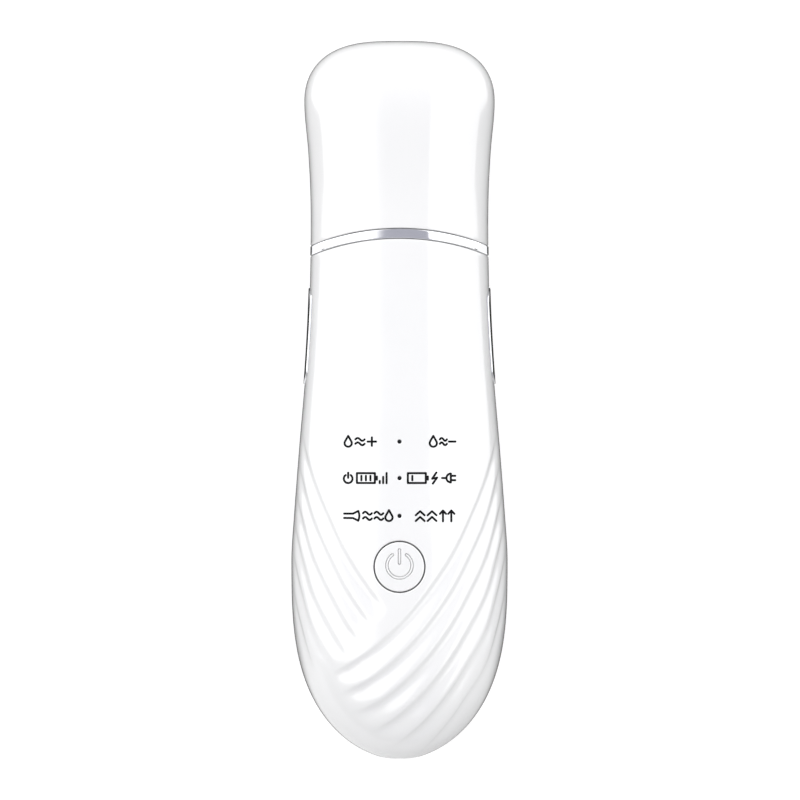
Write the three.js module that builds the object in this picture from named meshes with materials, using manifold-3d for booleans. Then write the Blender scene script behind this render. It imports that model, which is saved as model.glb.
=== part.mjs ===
// Ultrasonic skin scrubber: a palm-sized handle with a slide-off cap over a vibrating steel spatula.
// The scrubber lies on its back: +Z is out of the front, +Y runs towards the cap, Z = 0 is the table.
// All sizes are in millimetres.
import * as THREE from 'three';
import { mergeVertices } from 'three/addons/utils/BufferGeometryUtils.js';
import Module from 'manifold-3d';

const wasm = await Module();
wasm.setup();

// ---------- driving dimensions ----------

const LENGTH = 165;
const END = LENGTH / 2;
const PARTING_Z = 12;
const WALL = 2;
const FIT_GAP = 0.3;
const SEAT_GAP = 0.1;
const SECTION_POWER = 2.4;

// The tail would run on by this much, but is cut flat where the charging socket opens.
const TAIL_OVERRUN = 0.4;

// Side outline: half width at each station between the belly and the shoulder of the cap.
const BELLY = { y: -37, halfWidth: 24.87, powerAlong: 3, powerAcross: 1.8 };
const SHOULDER = { y: 68.5, halfWidth: 21.9, powerAlong: 2.2, powerAcross: 3 };
const WAIST = [[-27, 24.3], [-10, 23], [6, 21.65], [21, 20.8], [35, 20.45], [47, 20.5], [57, 21]];

// Front and back profiles, as heights above the table.
const HEEL = { y: -45, front: 26.8, back: -0.45, powerAlong: 2.6, powerAcross: 2 };
const CROWN = { y: 64, front: 23.2, back: 1.2, powerAlong: 2.4, powerAcross: 2.4 };
const FRONT_PROFILE = [[-27, 26.5], [-8, 25.3], [12, 24], [30, 23.1], [48, 22.8]];
const BACK_PROFILE = [[-10, -0.45], [20, -0.45], [36, 0.4], [48, 1]];

// The trim ring is bounded by two arcs that crown towards the cap.
const RING_ARC_RADIUS = 57.6;
const RING_BOTTOM = 36.85;
const RING_TOP = 39;
const RING_PROUD = 0.05;

const COLLAR = { inset: WALL + FIT_GAP, wall: 1.6, low: 31.5, high: 47, endWall: 2 };
const BLADE = { thickness: 0.8, root: 2, tip: 76, bendStart: 50, bendRadius: 40, bendAngle: 0.14 };
const BLADE_NECK_WIDTH = 26;
const BLADE_SLOT = { width: 30, height: 5, corner: 2.4 };
const CLAMP_POST = { x: 12.5, y: 27, radius: 2.5, screwHole: 1.25, holeLow: 4.6 };
const PIEZO = { y: 12, radius: 9, thickness: 2 };

const ELECTRODE = { y: 14.6, length: 22.2, height: 7, proud: 0.3, depth: 0.9 };
const ELECTRODE_PIN = { radius: 1.5, outerEnd: 20.2, innerEnd: 16.5, holeEnd: 14 };
const BUTTON = { y: -38.1, radius: 5.65, holeRadius: 5.95, stemRadius: 2 };
const BUTTON_FLANGE = { radius: 7.4, low: 23.2, high: 24 };
const LAMP_STATIONS = { top: -9.6, middle: -17.9, bottom: -26.5 };
const LAMP_RADIUS = 0.32;
const LAMP_HOLE_RADIUS = 0.45;

const BOARD = { thickness: 1.2, top: 18.8, low: -64, high: -2, halfWidth: 15, corner: 4 };
const BOARD_BOTTOM = BOARD.top - BOARD.thickness;
const SWITCH = { size: 6, height: 3.1, plungerRadius: 1.7, plungerTop: 22.6, plungerLow: 20.6 };
const BATTERY = { y: -35, width: 30, length: 46, thickness: 8.5, low: 5.2 };
const CHARGE_BOARD = { low: -76.5, high: -63, width: 12, thickness: 1, top: 10.2 };
const PORT = { width: 8.94, height: 3.26, length: 7.3, mouth: -81.6, wall: 0.3 };
const WIRE_RADIUS = 0.5;
const BOARD_BOSS = { radius: 2.4, holeRadius: 1.2, holeDepth: 3.5 };

// Facet counts of the outer skin and of the surfaces inside it.
const AROUND = 48;
const ALONG = 44;
const INNER_AROUND = 32;
const INNER_ALONG = 28;

// ---------- materials ----------

function material(color, roughness, metalness = 0) {
  return new THREE.MeshStandardMaterial({ color, roughness, metalness });
}

const glossWhite = material(0xf6f6f6, 0.18);
const matteWhite = material(0xeeeeec, 0.5);
const chrome = material(0xdfe3e8, 0.1, 1);
const steel = material(0xc9ccd0, 0.28, 1);
const silicone = material(0xb9bcc0, 0.7);
const blackPlastic = material(0x1c1d20, 0.5);
const ceramic = material(0xb7a47c, 0.6);
const brass = material(0xc9a44a, 0.35, 1);
const boardGreen = material(0x1f6b45, 0.5);
const screwSteel = material(0xa9adb3, 0.35, 1);
const cellWrap = material(0x8f979f, 0.35, 0.4);
const foam = material(0x3a3b3e, 0.95);
const lampClear = material(0xeaf4ff, 0.2);
const redWire = material(0xb3261e, 0.5);
const blackWire = material(0x18181a, 0.5);
const capacitorBlue = material(0x27466f, 0.4);

// ---------- solids and booleans ----------

function solid(geometry) {
  const bare = geometry.clone();
  bare.deleteAttribute('normal');
  bare.deleteAttribute('uv');
  const merged = mergeVertices(bare, 1e-4);
  const vertProperties = new Float32Array(merged.getAttribute('position').array);
  const triVerts = new Uint32Array(merged.getIndex().array);
  return new wasm.Manifold(new wasm.Mesh({ numProp: 3, vertProperties, triVerts }));
}

function geometryOf(body) {
  const mesh = body.getMesh();
  const geometry = new THREE.BufferGeometry();
  geometry.setAttribute('position', new THREE.BufferAttribute(new Float32Array(mesh.vertProperties), 3));
  geometry.setIndex(new THREE.BufferAttribute(new Uint32Array(mesh.triVerts), 1));
  geometry.computeVertexNormals();
  return geometry;
}

const scrubber = new THREE.Group();

function addPiece(name, body, look) {
  const mesh = new THREE.Mesh(geometryOf(body), look);
  mesh.name = name;
  scrubber.add(mesh);
}

// A box from its low corner to its high corner.
function block(low, high) {
  const size = high.map((value, axis) => value - low[axis]);
  const centre = high.map((value, axis) => (value + low[axis]) / 2);
  return solid(new THREE.BoxGeometry(...size).translate(...centre));
}

// An upright cylinder between two heights.
function post(x, y, radius, low, high, sides = 24) {
  const geometry = new THREE.CylinderGeometry(radius, radius, high - low, sides);
  return solid(geometry.rotateX(Math.PI / 2).translate(x, y, (low + high) / 2));
}

function roundedRectangle(width, height, corner) {
  const right = width / 2;
  const top = height / 2;
  const shape = new THREE.Shape();
  shape.absarc(right - corner, top - corner, corner, 0, Math.PI / 2);
  shape.absarc(corner - right, top - corner, corner, Math.PI / 2, Math.PI);
  shape.absarc(corner - right, corner - top, corner, Math.PI, 1.5 * Math.PI);
  shape.absarc(right - corner, corner - top, corner, 1.5 * Math.PI, 2 * Math.PI);
  shape.closePath();
  return shape;
}

function extrude(shape, depth, curveSegments = 3) {
  return new THREE.ExtrudeGeometry(shape, { depth, bevelEnabled: false, curveSegments });
}

// A bar along Y with a rounded rectangular section in the XZ plane, centred on the parting plane.
function barAlongY(width, height, corner, low, high) {
  const geometry = extrude(roundedRectangle(width, height, corner), high - low);
  return solid(geometry.rotateX(-Math.PI / 2).translate(0, low, PARTING_Z));
}

// A flat plate with rounded corners in the XY plane.
function plate(x, y, width, length, corner, low, high) {
  const geometry = extrude(roundedRectangle(width, length, corner), high - low);
  return solid(geometry.translate(x, y, low));
}

// A round wire through hand-picked points.
function wire(points) {
  const route = new THREE.CatmullRomCurve3(points.map((point) => new THREE.Vector3(...point)));
  const section = new THREE.Shape().absarc(0, 0, WIRE_RADIUS, 0, 2 * Math.PI);
  return solid(new THREE.ExtrudeGeometry(section, { steps: 8, curveSegments: 3, extrudePath: route }));
}

// ---------- the outer form ----------

// Smooth curve through [station, value] pairs, level at both ends.
function smoothThrough(stations, y) {
  const last = stations.length - 1;
  let left = 0;
  while (left < last - 1 && y > stations[left + 1][0]) left += 1;
  const slopeAt = (index) => {
    if (index === 0 || index === last) return 0;
    const [before, after] = [stations[index - 1], stations[index + 1]];
    return (after[1] - before[1]) / (after[0] - before[0]);
  };
  const [[y0, v0], [y1, v1]] = [stations[left], stations[left + 1]];
  const span = y1 - y0;
  const t = THREE.MathUtils.clamp((y - y0) / span, 0, 1);
  const bend = v0 + (v1 - v0) * t * t * (3 - 2 * t);
  const ease = t * (1 - t);
  return bend + span * ease * (slopeAt(left) * (1 - t) - slopeAt(left + 1) * t);
}

// Quarter of a superellipse: 1 at the start of the rounded end and 0 at its tip.
function roundEnd(distance, reach, end) {
  const ratio = distance / reach;
  if (ratio > 1 - 1e-9) return 0;
  return (1 - ratio ** end.powerAlong) ** (1 / end.powerAcross);
}

function endFactor(y, inset, lowEnd, highEnd) {
  if (y < lowEnd.y) return roundEnd(lowEnd.y - y, lowEnd.y + END + TAIL_OVERRUN - inset, lowEnd);
  if (y > highEnd.y) return roundEnd(y - highEnd.y, END - highEnd.y - inset, highEnd);
  return 1;
}

function halfWidth(y, inset) {
  const stations = [[BELLY.y, BELLY.halfWidth], ...WAIST, [SHOULDER.y, SHOULDER.halfWidth]];
  return (smoothThrough(stations, y) - inset) * endFactor(y, inset, BELLY, SHOULDER);
}

function frontRise(y, inset) {
  const stations = [[HEEL.y, HEEL.front], ...FRONT_PROFILE, [CROWN.y, CROWN.front]];
  return (smoothThrough(stations, y) - PARTING_Z - inset) * endFactor(y, inset, HEEL, CROWN);
}

function backDrop(y, inset) {
  const stations = [[HEEL.y, HEEL.back], ...BACK_PROFILE, [CROWN.y, CROWN.back]];
  return (PARTING_Z - smoothThrough(stations, y) - inset) * endFactor(y, inset, HEEL, CROWN);
}

const signedPower = (value, power) => Math.sign(value) * Math.abs(value) ** power;

// The whole outer form, or a copy of it set in by the given distance, as one closed skin.
function skin(inset, around = AROUND, along = ALONG) {
  const geometry = new THREE.SphereGeometry(1, around, along);
  const position = geometry.getAttribute('position');
  const head = END - inset;
  const tail = -END - TAIL_OVERRUN + inset;
  const point = new THREE.Vector3();
  for (let index = 0; index < position.count; index += 1) {
    point.fromBufferAttribute(position, index);
    const y = THREE.MathUtils.lerp(tail, head, (1 + point.y) / 2);
    const angle = Math.atan2(point.z, point.x);
    const rise = point.z > 0 ? frontRise(y, inset) : backDrop(y, inset);
    const x = halfWidth(y, inset) * signedPower(Math.cos(angle), 2 / SECTION_POWER);
    const z = PARTING_Z + rise * signedPower(Math.sin(angle), 2 / SECTION_POWER);
    position.setXYZ(index, x, y, z);
  }
  return solid(geometry);
}

// Everything between two arcs that crown towards the cap, through the full depth.
function crownedSlice(low, high) {
  const reach = 30;
  const half = Math.asin(reach / RING_ARC_RADIUS);
  const shape = new THREE.Shape();
  shape.absarc(0, high - RING_ARC_RADIUS, RING_ARC_RADIUS, Math.PI / 2 - half, Math.PI / 2 + half);
  if (low === null) {
    shape.lineTo(-reach, -2 * END);
    shape.lineTo(reach, -2 * END);
  } else {
    const centre = low - RING_ARC_RADIUS;
    shape.absarc(0, centre, RING_ARC_RADIUS, Math.PI / 2 + half, Math.PI / 2 - half, true);
  }
  shape.closePath();
  return solid(extrude(shape, 60, 7).translate(0, 0, -15));
}

const outside = skin(0);
const inside = skin(WALL, INNER_AROUND, INNER_ALONG);
const tableCut = block([-60, -120, -20], [60, 120, 0]);
const handleZone = crownedSlice(null, RING_BOTTOM - FIT_GAP / 2);
const tailCut = block([-60, -120, -20], [60, -END, 60]);
const bodyShell = outside.subtract(inside).subtract(tableCut).subtract(tailCut);

// ---------- openings shared by the two half shells ----------

const electrodeSides = { left: -1, right: 1 };

// A stadium outline seen from the side, running through one flank of the handle.
function electrodeBar(side, grow) {
  const height = ELECTRODE.height + 2 * grow;
  const length = ELECTRODE.length + 2 * grow;
  const shape = roundedRectangle(height, length, height / 2 - 0.01);
  const [inner, outer] = [12, 26];
  const geometry = extrude(shape, outer - inner).rotateY(Math.PI / 2);
  return solid(geometry.translate(side > 0 ? inner : -outer, ELECTRODE.y, PARTING_Z));
}

function electrodePin(side, radius, innerEnd) {
  const length = ELECTRODE_PIN.outerEnd - innerEnd;
  const geometry = new THREE.CylinderGeometry(radius, radius, length, 16);
  const middle = side * (innerEnd + length / 2);
  return solid(geometry.rotateZ(Math.PI / 2).translate(middle, ELECTRODE.y, PARTING_Z));
}

const pocketFloor = skin(ELECTRODE.depth + FIT_GAP, INNER_AROUND, ALONG);

// Bosses run out from the inside into the middle of the wall.
const midWall = skin(WALL / 2, INNER_AROUND, INNER_ALONG);

function cutSharedOpenings(shell) {
  let cut = shell;
  for (const side of Object.values(electrodeSides)) {
    cut = cut.subtract(electrodeBar(side, FIT_GAP).subtract(pocketFloor));
    cut = cut.subtract(electrodePin(side, ELECTRODE_PIN.radius + FIT_GAP, ELECTRODE_PIN.holeEnd));
  }
  const [width, height] = [PORT.width + 2 * FIT_GAP, PORT.height + 2 * FIT_GAP];
  const portHole = barAlongY(width, height, height / 2 - 0.03, -END - 2, PORT.mouth + PORT.length);
  return cut.subtract(portHole);
}

// ---------- handle shells ----------

const boardScrewPlaces = {
  lower_left: [-12.2, -58],
  lower_right: [12.2, -58],
  upper_left: [-12.2, -8],
  upper_right: [12.2, -8],
};

function frontShell() {
  const half = block([-60, -120, PARTING_Z + FIT_GAP / 2], [60, 120, 60]);
  let shell = bodyShell.intersect(handleZone).intersect(half);
  for (const [x, y] of Object.values(boardScrewPlaces)) {
    const boss = post(x, y, BOARD_BOSS.radius, BOARD.top + SEAT_GAP, 30).intersect(midWall);
    const hole = post(x, y, BOARD_BOSS.holeRadius, BOARD.top - 1, BOARD.top + BOARD_BOSS.holeDepth, 12);
    shell = shell.add(boss).subtract(hole);
  }
  shell = shell.subtract(post(0, BUTTON.y, BUTTON.holeRadius, 20, 40, 40));
  for (const y of Object.values(LAMP_STATIONS)) {
    shell = shell.subtract(post(0, y, LAMP_HOLE_RADIUS, 20, 40, 16));
  }
  return cutSharedOpenings(shell);
}

function backShell() {
  const half = block([-60, -120, -20], [60, 120, PARTING_Z - FIT_GAP / 2]);
  let shell = bodyShell.intersect(handleZone).intersect(half);
  const postTop = PARTING_Z - BLADE.thickness / 2 - FIT_GAP;
  for (const side of [-1, 1]) {
    const x = side * CLAMP_POST.x;
    const boss = post(x, CLAMP_POST.y, CLAMP_POST.radius, -10, postTop);
    shell = shell.add(boss.intersect(midWall));
    shell = shell.subtract(post(x, CLAMP_POST.y, CLAMP_POST.screwHole, CLAMP_POST.holeLow, 20, 12));
  }
  return cutSharedOpenings(shell);
}

addPiece('front_shell', frontShell(), glossWhite);
addPiece('back_shell', backShell(), glossWhite);

// ---------- neck: trim ring, collar, gasket ----------

function trimRing() {
  const band = skin(-RING_PROUD).subtract(inside).subtract(tableCut);
  return band.intersect(crownedSlice(RING_BOTTOM, RING_TOP));
}

function neckCollar() {
  const range = block([-60, COLLAR.low, -20], [60, COLLAR.high, 60]);
  const bore = block([-60, -120, -20], [60, COLLAR.high - COLLAR.endWall, 60]);
  const outer = skin(COLLAR.inset, INNER_AROUND, ALONG).intersect(range);
  const hollow = skin(COLLAR.inset + COLLAR.wall, INNER_AROUND, ALONG).intersect(bore);
  const { width, height, corner } = BLADE_SLOT;
  const slot = barAlongY(width, height, corner, COLLAR.high - 4, COLLAR.high + 2);
  return outer.subtract(hollow).subtract(slot);
}

function bladeGasket() {
  const plug = { width: BLADE_SLOT.width - 2 * FIT_GAP, height: BLADE_SLOT.height - 2 * FIT_GAP };
  const innerEnd = COLLAR.high - COLLAR.endWall - 0.5;
  const face = COLLAR.high + FIT_GAP;
  const body = barAlongY(plug.width, plug.height, 2.1, innerEnd, face + 0.5);
  const lip = barAlongY(plug.width + 3, plug.height + 3, 3.2, face, face + 1.1);
  const opening = { width: BLADE_NECK_WIDTH + 2 * FIT_GAP, height: BLADE.thickness + 2 * FIT_GAP };
  const cut = barAlongY(opening.width, opening.height, 0.6, innerEnd - 1, face + 2);
  return body.add(lip).subtract(cut);
}

// ---------- spatula blade and its ultrasonic drive ----------

// Outline of the sheet seen from the front: a narrow tail, screw ears, a neck and a flared tip.
function bladeOutline() {
  const tail = 10;
  const ears = 15.5;
  const neck = BLADE_NECK_WIDTH / 2;
  const tip = 15;
  const shape = new THREE.Shape();
  shape.moveTo(tail - 1, BLADE.root);
  shape.lineTo(tail, BLADE.root + 1);
  shape.lineTo(tail, 21.5);
  shape.lineTo(ears - 1, 22.8);
  shape.lineTo(ears, 24);
  shape.lineTo(ears, 29.5);
  shape.lineTo(neck, 32);
  shape.lineTo(neck, 49.5);
  shape.bezierCurveTo(neck, 56, tip - 0.5, 60, tip, 69.5);
  shape.quadraticCurveTo(tip, 72.6, tip - 2.6, 73.8);
  shape.quadraticCurveTo(0, BLADE.tip + 2.2, 2.6 - tip, 73.8);
  shape.quadraticCurveTo(-tip, 72.6, -tip, 69.5);
  shape.bezierCurveTo(0.5 - tip, 60, -neck, 56, -neck, 49.5);
  shape.lineTo(-neck, 32);
  shape.lineTo(-ears, 29.5);
  shape.lineTo(-ears, 24);
  shape.lineTo(1 - ears, 22.8);
  shape.lineTo(-tail, 21.5);
  shape.lineTo(-tail, BLADE.root + 1);
  shape.lineTo(1 - tail, BLADE.root);
  shape.closePath();
  return shape;
}

// Side view of the sheet: flat to the neck, then bent gently towards the front.
function bladeSideProfile() {
  const half = BLADE.thickness / 2;
  const turn = BLADE.bendAngle;
  const centre = [BLADE.bendStart, PARTING_Z + BLADE.bendRadius];
  const run = 30;
  const onArc = (radius, along) => [
    centre[0] + radius * Math.sin(turn) + along * Math.cos(turn),
    centre[1] - radius * Math.cos(turn) + along * Math.sin(turn),
  ];
  const start = -Math.PI / 2;
  const shape = new THREE.Shape();
  shape.moveTo(0, PARTING_Z - half);
  shape.absarc(...centre, BLADE.bendRadius + half, start, start + turn, false);
  shape.lineTo(...onArc(BLADE.bendRadius + half, run));
  shape.lineTo(...onArc(BLADE.bendRadius - half, run));
  shape.absarc(...centre, BLADE.bendRadius - half, start + turn, start, true);
  shape.lineTo(0, PARTING_Z + half);
  shape.closePath();
  return shape;
}

function spatulaBlade() {
  const outline = solid(extrude(bladeOutline(), 20, 8).translate(0, 0, 5));
  const profile = extrude(bladeSideProfile(), 40).rotateY(Math.PI / 2).rotateX(Math.PI / 2);
  const sheet = solid(profile.translate(-20, 0, 0));
  let blade = sheet.intersect(outline);
  for (const side of [-1, 1]) {
    blade = blade.subtract(post(side * CLAMP_POST.x, CLAMP_POST.y, 1.5, 5, 20, 16));
  }
  return blade;
}

const clampLow = PARTING_Z + BLADE.thickness / 2 + FIT_GAP;
const clampHigh = clampLow + 2;

function bladeClamp() {
  let clamp = plate(0, CLAMP_POST.y, 32, 6, 2, clampLow, clampHigh);
  for (const side of [-1, 1]) {
    clamp = clamp.subtract(post(side * CLAMP_POST.x, CLAMP_POST.y, 1.35, 5, 20, 16));
  }
  return clamp;
}

function clampScrew(side) {
  const x = side * CLAMP_POST.x;
  const headLow = clampHigh + SEAT_GAP;
  const head = post(x, CLAMP_POST.y, 2, headLow, headLow + 1.3, 20);
  const slotLow = [x - 1.2, CLAMP_POST.y - 0.3, headLow + 0.7];
  const recess = block(slotLow, [x + 1.2, CLAMP_POST.y + 0.3, headLow + 2]);
  return head.add(post(x, CLAMP_POST.y, 1, 5, headLow + 0.2, 12)).subtract(recess);
}

function piezoDisc(side) {
  const near = PARTING_Z + side * (BLADE.thickness / 2 + SEAT_GAP);
  const far = near + side * PIEZO.thickness;
  return post(0, PIEZO.y, PIEZO.radius, Math.min(near, far), Math.max(near, far), 40);
}

addPiece('trim_ring', trimRing(), chrome);
addPiece('neck_collar', neckCollar(), matteWhite);
addPiece('blade_gasket', bladeGasket(), silicone);
addPiece('spatula_blade', spatulaBlade(), steel);
addPiece('blade_clamp', bladeClamp(), blackPlastic);
addPiece('clamp_screw_left', clampScrew(-1), screwSteel);
addPiece('clamp_screw_right', clampScrew(1), screwSteel);
addPiece('piezo_disc_front', piezoDisc(1), ceramic);
addPiece('piezo_disc_back', piezoDisc(-1), ceramic);

const piezoFace = BLADE.thickness / 2 + SEAT_GAP + PIEZO.thickness + SEAT_GAP + WIRE_RADIUS;
const boardUnderside = BOARD_BOTTOM - SEAT_GAP;
const frontPiezoLead = [
  [3, PIEZO.y, PARTING_Z + piezoFace],
  [3, 6, PARTING_Z + piezoFace],
  [3, 0, 16],
  [2.5, -2.6, boardUnderside - WIRE_RADIUS],
];
const backPiezoLead = [
  [-3, PIEZO.y, PARTING_Z - piezoFace],
  [-3, 4, PARTING_Z - piezoFace],
  [-2, -1, 12],
  [-1, -2.6, boardUnderside - WIRE_RADIUS],
];
addPiece('piezo_lead_front', wire(frontPiezoLead), redWire);
addPiece('piezo_lead_back', wire(backPiezoLead), blackWire);

// ---------- touch electrodes on the flanks ----------

function touchElectrode(side) {
  const face = skin(-ELECTRODE.proud).subtract(skin(ELECTRODE.depth, INNER_AROUND, ALONG));
  const pad = face.intersect(electrodeBar(side, 0));
  return pad.add(electrodePin(side, ELECTRODE_PIN.radius, ELECTRODE_PIN.innerEnd));
}

for (const [name, side] of Object.entries(electrodeSides)) {
  addPiece(`electrode_${name}`, touchElectrode(side), chrome);
  const lead = [
    [side * (ELECTRODE_PIN.innerEnd - 0.9), ELECTRODE.y, PARTING_Z],
    [side * 14.2, 7, 13],
    [side * 13, 1, 15.5],
    [side * 12.5, -3.4, boardUnderside - WIRE_RADIUS],
  ];
  addPiece(`electrode_lead_${name}`, wire(lead), blackWire);
}

// ---------- circuit board and what is on it ----------

function mainBoard() {
  const length = BOARD.high - BOARD.low;
  const middle = (BOARD.high + BOARD.low) / 2;
  let board = plate(0, middle, 2 * BOARD.halfWidth, length, BOARD.corner, BOARD_BOTTOM, BOARD.top);
  for (const [x, y] of Object.values(boardScrewPlaces)) {
    board = board.subtract(post(x, y, 1.3, 10, 25, 16));
  }
  return board;
}

function chip(x, y, width, length, height) {
  const low = BOARD.top + SEAT_GAP;
  return block([x - width / 2, y - length / 2, low], [x + width / 2, y + length / 2, low + height]);
}

function boardScrew([x, y]) {
  const headTop = BOARD_BOTTOM - SEAT_GAP;
  const head = post(x, y, 1.9, headTop - 1.2, headTop, 16);
  const recess = block([x - 1.1, y - 0.3, headTop - 2], [x + 1.1, y + 0.3, headTop - 0.7]);
  return head.add(post(x, y, 0.9, headTop - 0.2, BOARD.top + 3.2, 12)).subtract(recess);
}

addPiece('main_board', mainBoard(), boardGreen);
addPiece('control_chip', chip(-7.5, -51, 5, 5, 0.9), blackPlastic);
addPiece('driver_chip', chip(7.5, -51, 4, 5, 1.4), blackPlastic);
addPiece('driver_coil', plate(-6, -7, 7.4, 7, 1.5, boardUnderside - 5, boardUnderside), blackPlastic);
addPiece('supply_capacitor', post(6.2, -7, 3, boardUnderside - 7, boardUnderside, 24), capacitorBlue);
for (const [name, place] of Object.entries(boardScrewPlaces)) {
  addPiece(`board_screw_${name}`, boardScrew(place), screwSteel);
}

// Indicator lamps and the clear pins that carry their light to the surface.
const lampLow = BOARD.top + SEAT_GAP;
const lampHigh = lampLow + 0.7;
for (const [name, y] of Object.entries(LAMP_STATIONS)) {
  addPiece(`lamp_${name}`, block([-0.8, y - 0.5, lampLow], [0.8, y + 0.5, lampHigh]), lampClear);
  const foot = post(0, y, 1.2, lampHigh + FIT_GAP, lampHigh + 2, 16);
  const pin = post(0, y, LAMP_RADIUS, lampHigh + 1, 40, 16).intersect(outside);
  addPiece(`light_pin_${name}`, foot.add(pin), lampClear);
}

// ---------- power button and its switch ----------

const stemLow = SWITCH.plungerTop + FIT_GAP;

function powerButton() {
  const cap = post(0, BUTTON.y, BUTTON.radius, BUTTON_FLANGE.low, 40, 40).intersect(outside);
  const flange = post(0, BUTTON.y, BUTTON_FLANGE.radius, BUTTON_FLANGE.low, BUTTON_FLANGE.high, 32);
  const stem = post(0, BUTTON.y, BUTTON.stemRadius, stemLow, BUTTON_FLANGE.low + 0.2, 20);
  return cap.add(flange).add(stem);
}

function switchHousing() {
  const body = chip(0, BUTTON.y, SWITCH.size, SWITCH.size, SWITCH.height);
  return body.subtract(post(0, BUTTON.y, SWITCH.plungerRadius + FIT_GAP, SWITCH.plungerLow - 0.8, 30, 24));
}

addPiece('power_button', powerButton(), glossWhite);
addPiece('switch_housing', switchHousing(), blackPlastic);
addPiece('switch_plunger',
  post(0, BUTTON.y, SWITCH.plungerRadius, SWITCH.plungerLow, SWITCH.plungerTop, 24), matteWhite);

// ---------- battery ----------

function batteryCell() {
  const high = BATTERY.low + BATTERY.thickness;
  return plate(0, BATTERY.y, BATTERY.width, BATTERY.length, 2.5, BATTERY.low, high);
}

const padTop = BATTERY.low - FIT_GAP;
addPiece('battery_cell', batteryCell(), cellWrap);
addPiece('battery_pad', plate(0, BATTERY.y, 24, BATTERY.length - 6, 2, padTop - 1.5, padTop), foam);

const batteryEnd = BATTERY.y + BATTERY.length / 2 + FIT_GAP;
const batteryTerminals = { red: [-0.6, redWire], black: [1.5, blackWire] };
for (const [name, [x, look]] of Object.entries(batteryTerminals)) {
  const lead = [
    [x, batteryEnd, 10.5],
    [x, batteryEnd + 2, 11.5],
    [x, batteryEnd + 2.6, 14.5],
    [x, batteryEnd + 2.6, boardUnderside - SEAT_GAP],
  ];
  addPiece(`battery_lead_${name}`, wire(lead), look);
}

// ---------- charging socket ----------

function chargeBoard() {
  const middle = (CHARGE_BOARD.low + CHARGE_BOARD.high) / 2;
  const length = CHARGE_BOARD.high - CHARGE_BOARD.low;
  const low = CHARGE_BOARD.top - CHARGE_BOARD.thickness;
  return plate(0, middle, CHARGE_BOARD.width, length, 1.5, low, CHARGE_BOARD.top);
}

function portShell() {
  const rear = PORT.mouth + PORT.length;
  const outer = barAlongY(PORT.width, PORT.height, 1.5, PORT.mouth, rear);
  const cavity = [PORT.width - 2 * PORT.wall, PORT.height - 2 * PORT.wall, 1.2];
  return outer.subtract(barAlongY(...cavity, PORT.mouth - 1, rear - 1));
}

const tongueLow = PORT.mouth + 1.4;
const tongueHigh = PORT.mouth + PORT.length - 1 - SEAT_GAP;
addPiece('charge_board', chargeBoard(), boardGreen);
addPiece('charge_port_shell', portShell(), screwSteel);
addPiece('charge_port_tongue', barAlongY(6.7, 0.7, 0.2, tongueLow, tongueHigh), blackPlastic);

const chargeLeads = { red: [-2.5, redWire], black: [2.5, blackWire] };
for (const [name, [x, look]] of Object.entries(chargeLeads)) {
  const lead = [
    [x, CHARGE_BOARD.high - 1.5, CHARGE_BOARD.top + SEAT_GAP + WIRE_RADIUS],
    [x, CHARGE_BOARD.high + 0.6, 12.2],
    [x, CHARGE_BOARD.high + 1.2, 15],
    [x, CHARGE_BOARD.high + 1.2, boardUnderside - SEAT_GAP],
  ];
  addPiece(`charge_lead_${name}`, wire(lead), look);
}

// ---------- protective cap ----------

function protectiveCap() {
  const capZone = block([-60, 0, -20], [60, 120, 60]).subtract(crownedSlice(null, RING_TOP + FIT_GAP / 2));
  return outside.subtract(inside).intersect(capZone);
}

addPiece('protective_cap', protectiveCap(), glossWhite);

export default scrubber;
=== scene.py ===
"""Ultrasonic skin scrubber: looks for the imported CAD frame.

The object lies on its back with +Z out of its front and +Y towards the cap. The shapes are worked out in
millimetres, from the same dimensions as the CAD, and become Blender meshes in metres.
"""
import math

import bmesh
import bpy
import numpy as np
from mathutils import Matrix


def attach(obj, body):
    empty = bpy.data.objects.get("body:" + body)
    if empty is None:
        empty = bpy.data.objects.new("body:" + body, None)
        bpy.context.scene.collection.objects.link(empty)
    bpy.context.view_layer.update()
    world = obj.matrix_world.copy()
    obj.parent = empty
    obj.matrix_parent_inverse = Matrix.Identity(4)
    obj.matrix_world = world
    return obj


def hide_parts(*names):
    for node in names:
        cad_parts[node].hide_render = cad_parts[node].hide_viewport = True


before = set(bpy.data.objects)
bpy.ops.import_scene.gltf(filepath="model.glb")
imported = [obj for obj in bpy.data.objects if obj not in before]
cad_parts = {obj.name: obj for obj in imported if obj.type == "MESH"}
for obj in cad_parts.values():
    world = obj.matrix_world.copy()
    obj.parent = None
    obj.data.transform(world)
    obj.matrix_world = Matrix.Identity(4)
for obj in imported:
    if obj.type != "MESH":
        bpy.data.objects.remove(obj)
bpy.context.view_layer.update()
scene = bpy.context.scene

MM = 0.001

# ---------- driving dimensions, in millimetres ----------

END = 82.5
PARTING_Z = 12.0
WALL = 2.0
FIT_GAP = 0.3
SECTION_POWER = 2.4
SECTION_ROOT = 2.0 / SECTION_POWER
TAIL_OVERRUN = 0.4

BELLY = {"y": -37.0, "value": 24.87, "along": 3.0, "across": 1.8}
SHOULDER = {"y": 68.5, "value": 21.9, "along": 2.2, "across": 3.0}
WAIST = [(-27, 24.3), (-10, 23), (6, 21.65), (21, 20.8), (35, 20.45), (47, 20.5), (57, 21)]
HEEL = {"y": -45.0, "front": 26.8, "back": -0.45, "along": 2.6, "across": 2.0}
CROWN = {"y": 64.0, "front": 23.2, "back": 1.2, "along": 2.4, "across": 2.4}
FRONT_PROFILE = [(-27, 26.5), (-8, 25.3), (12, 24), (30, 23.1), (48, 22.8)]
BACK_PROFILE = [(-10, -0.45), (20, -0.45), (36, 0.4), (48, 1)]

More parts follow.
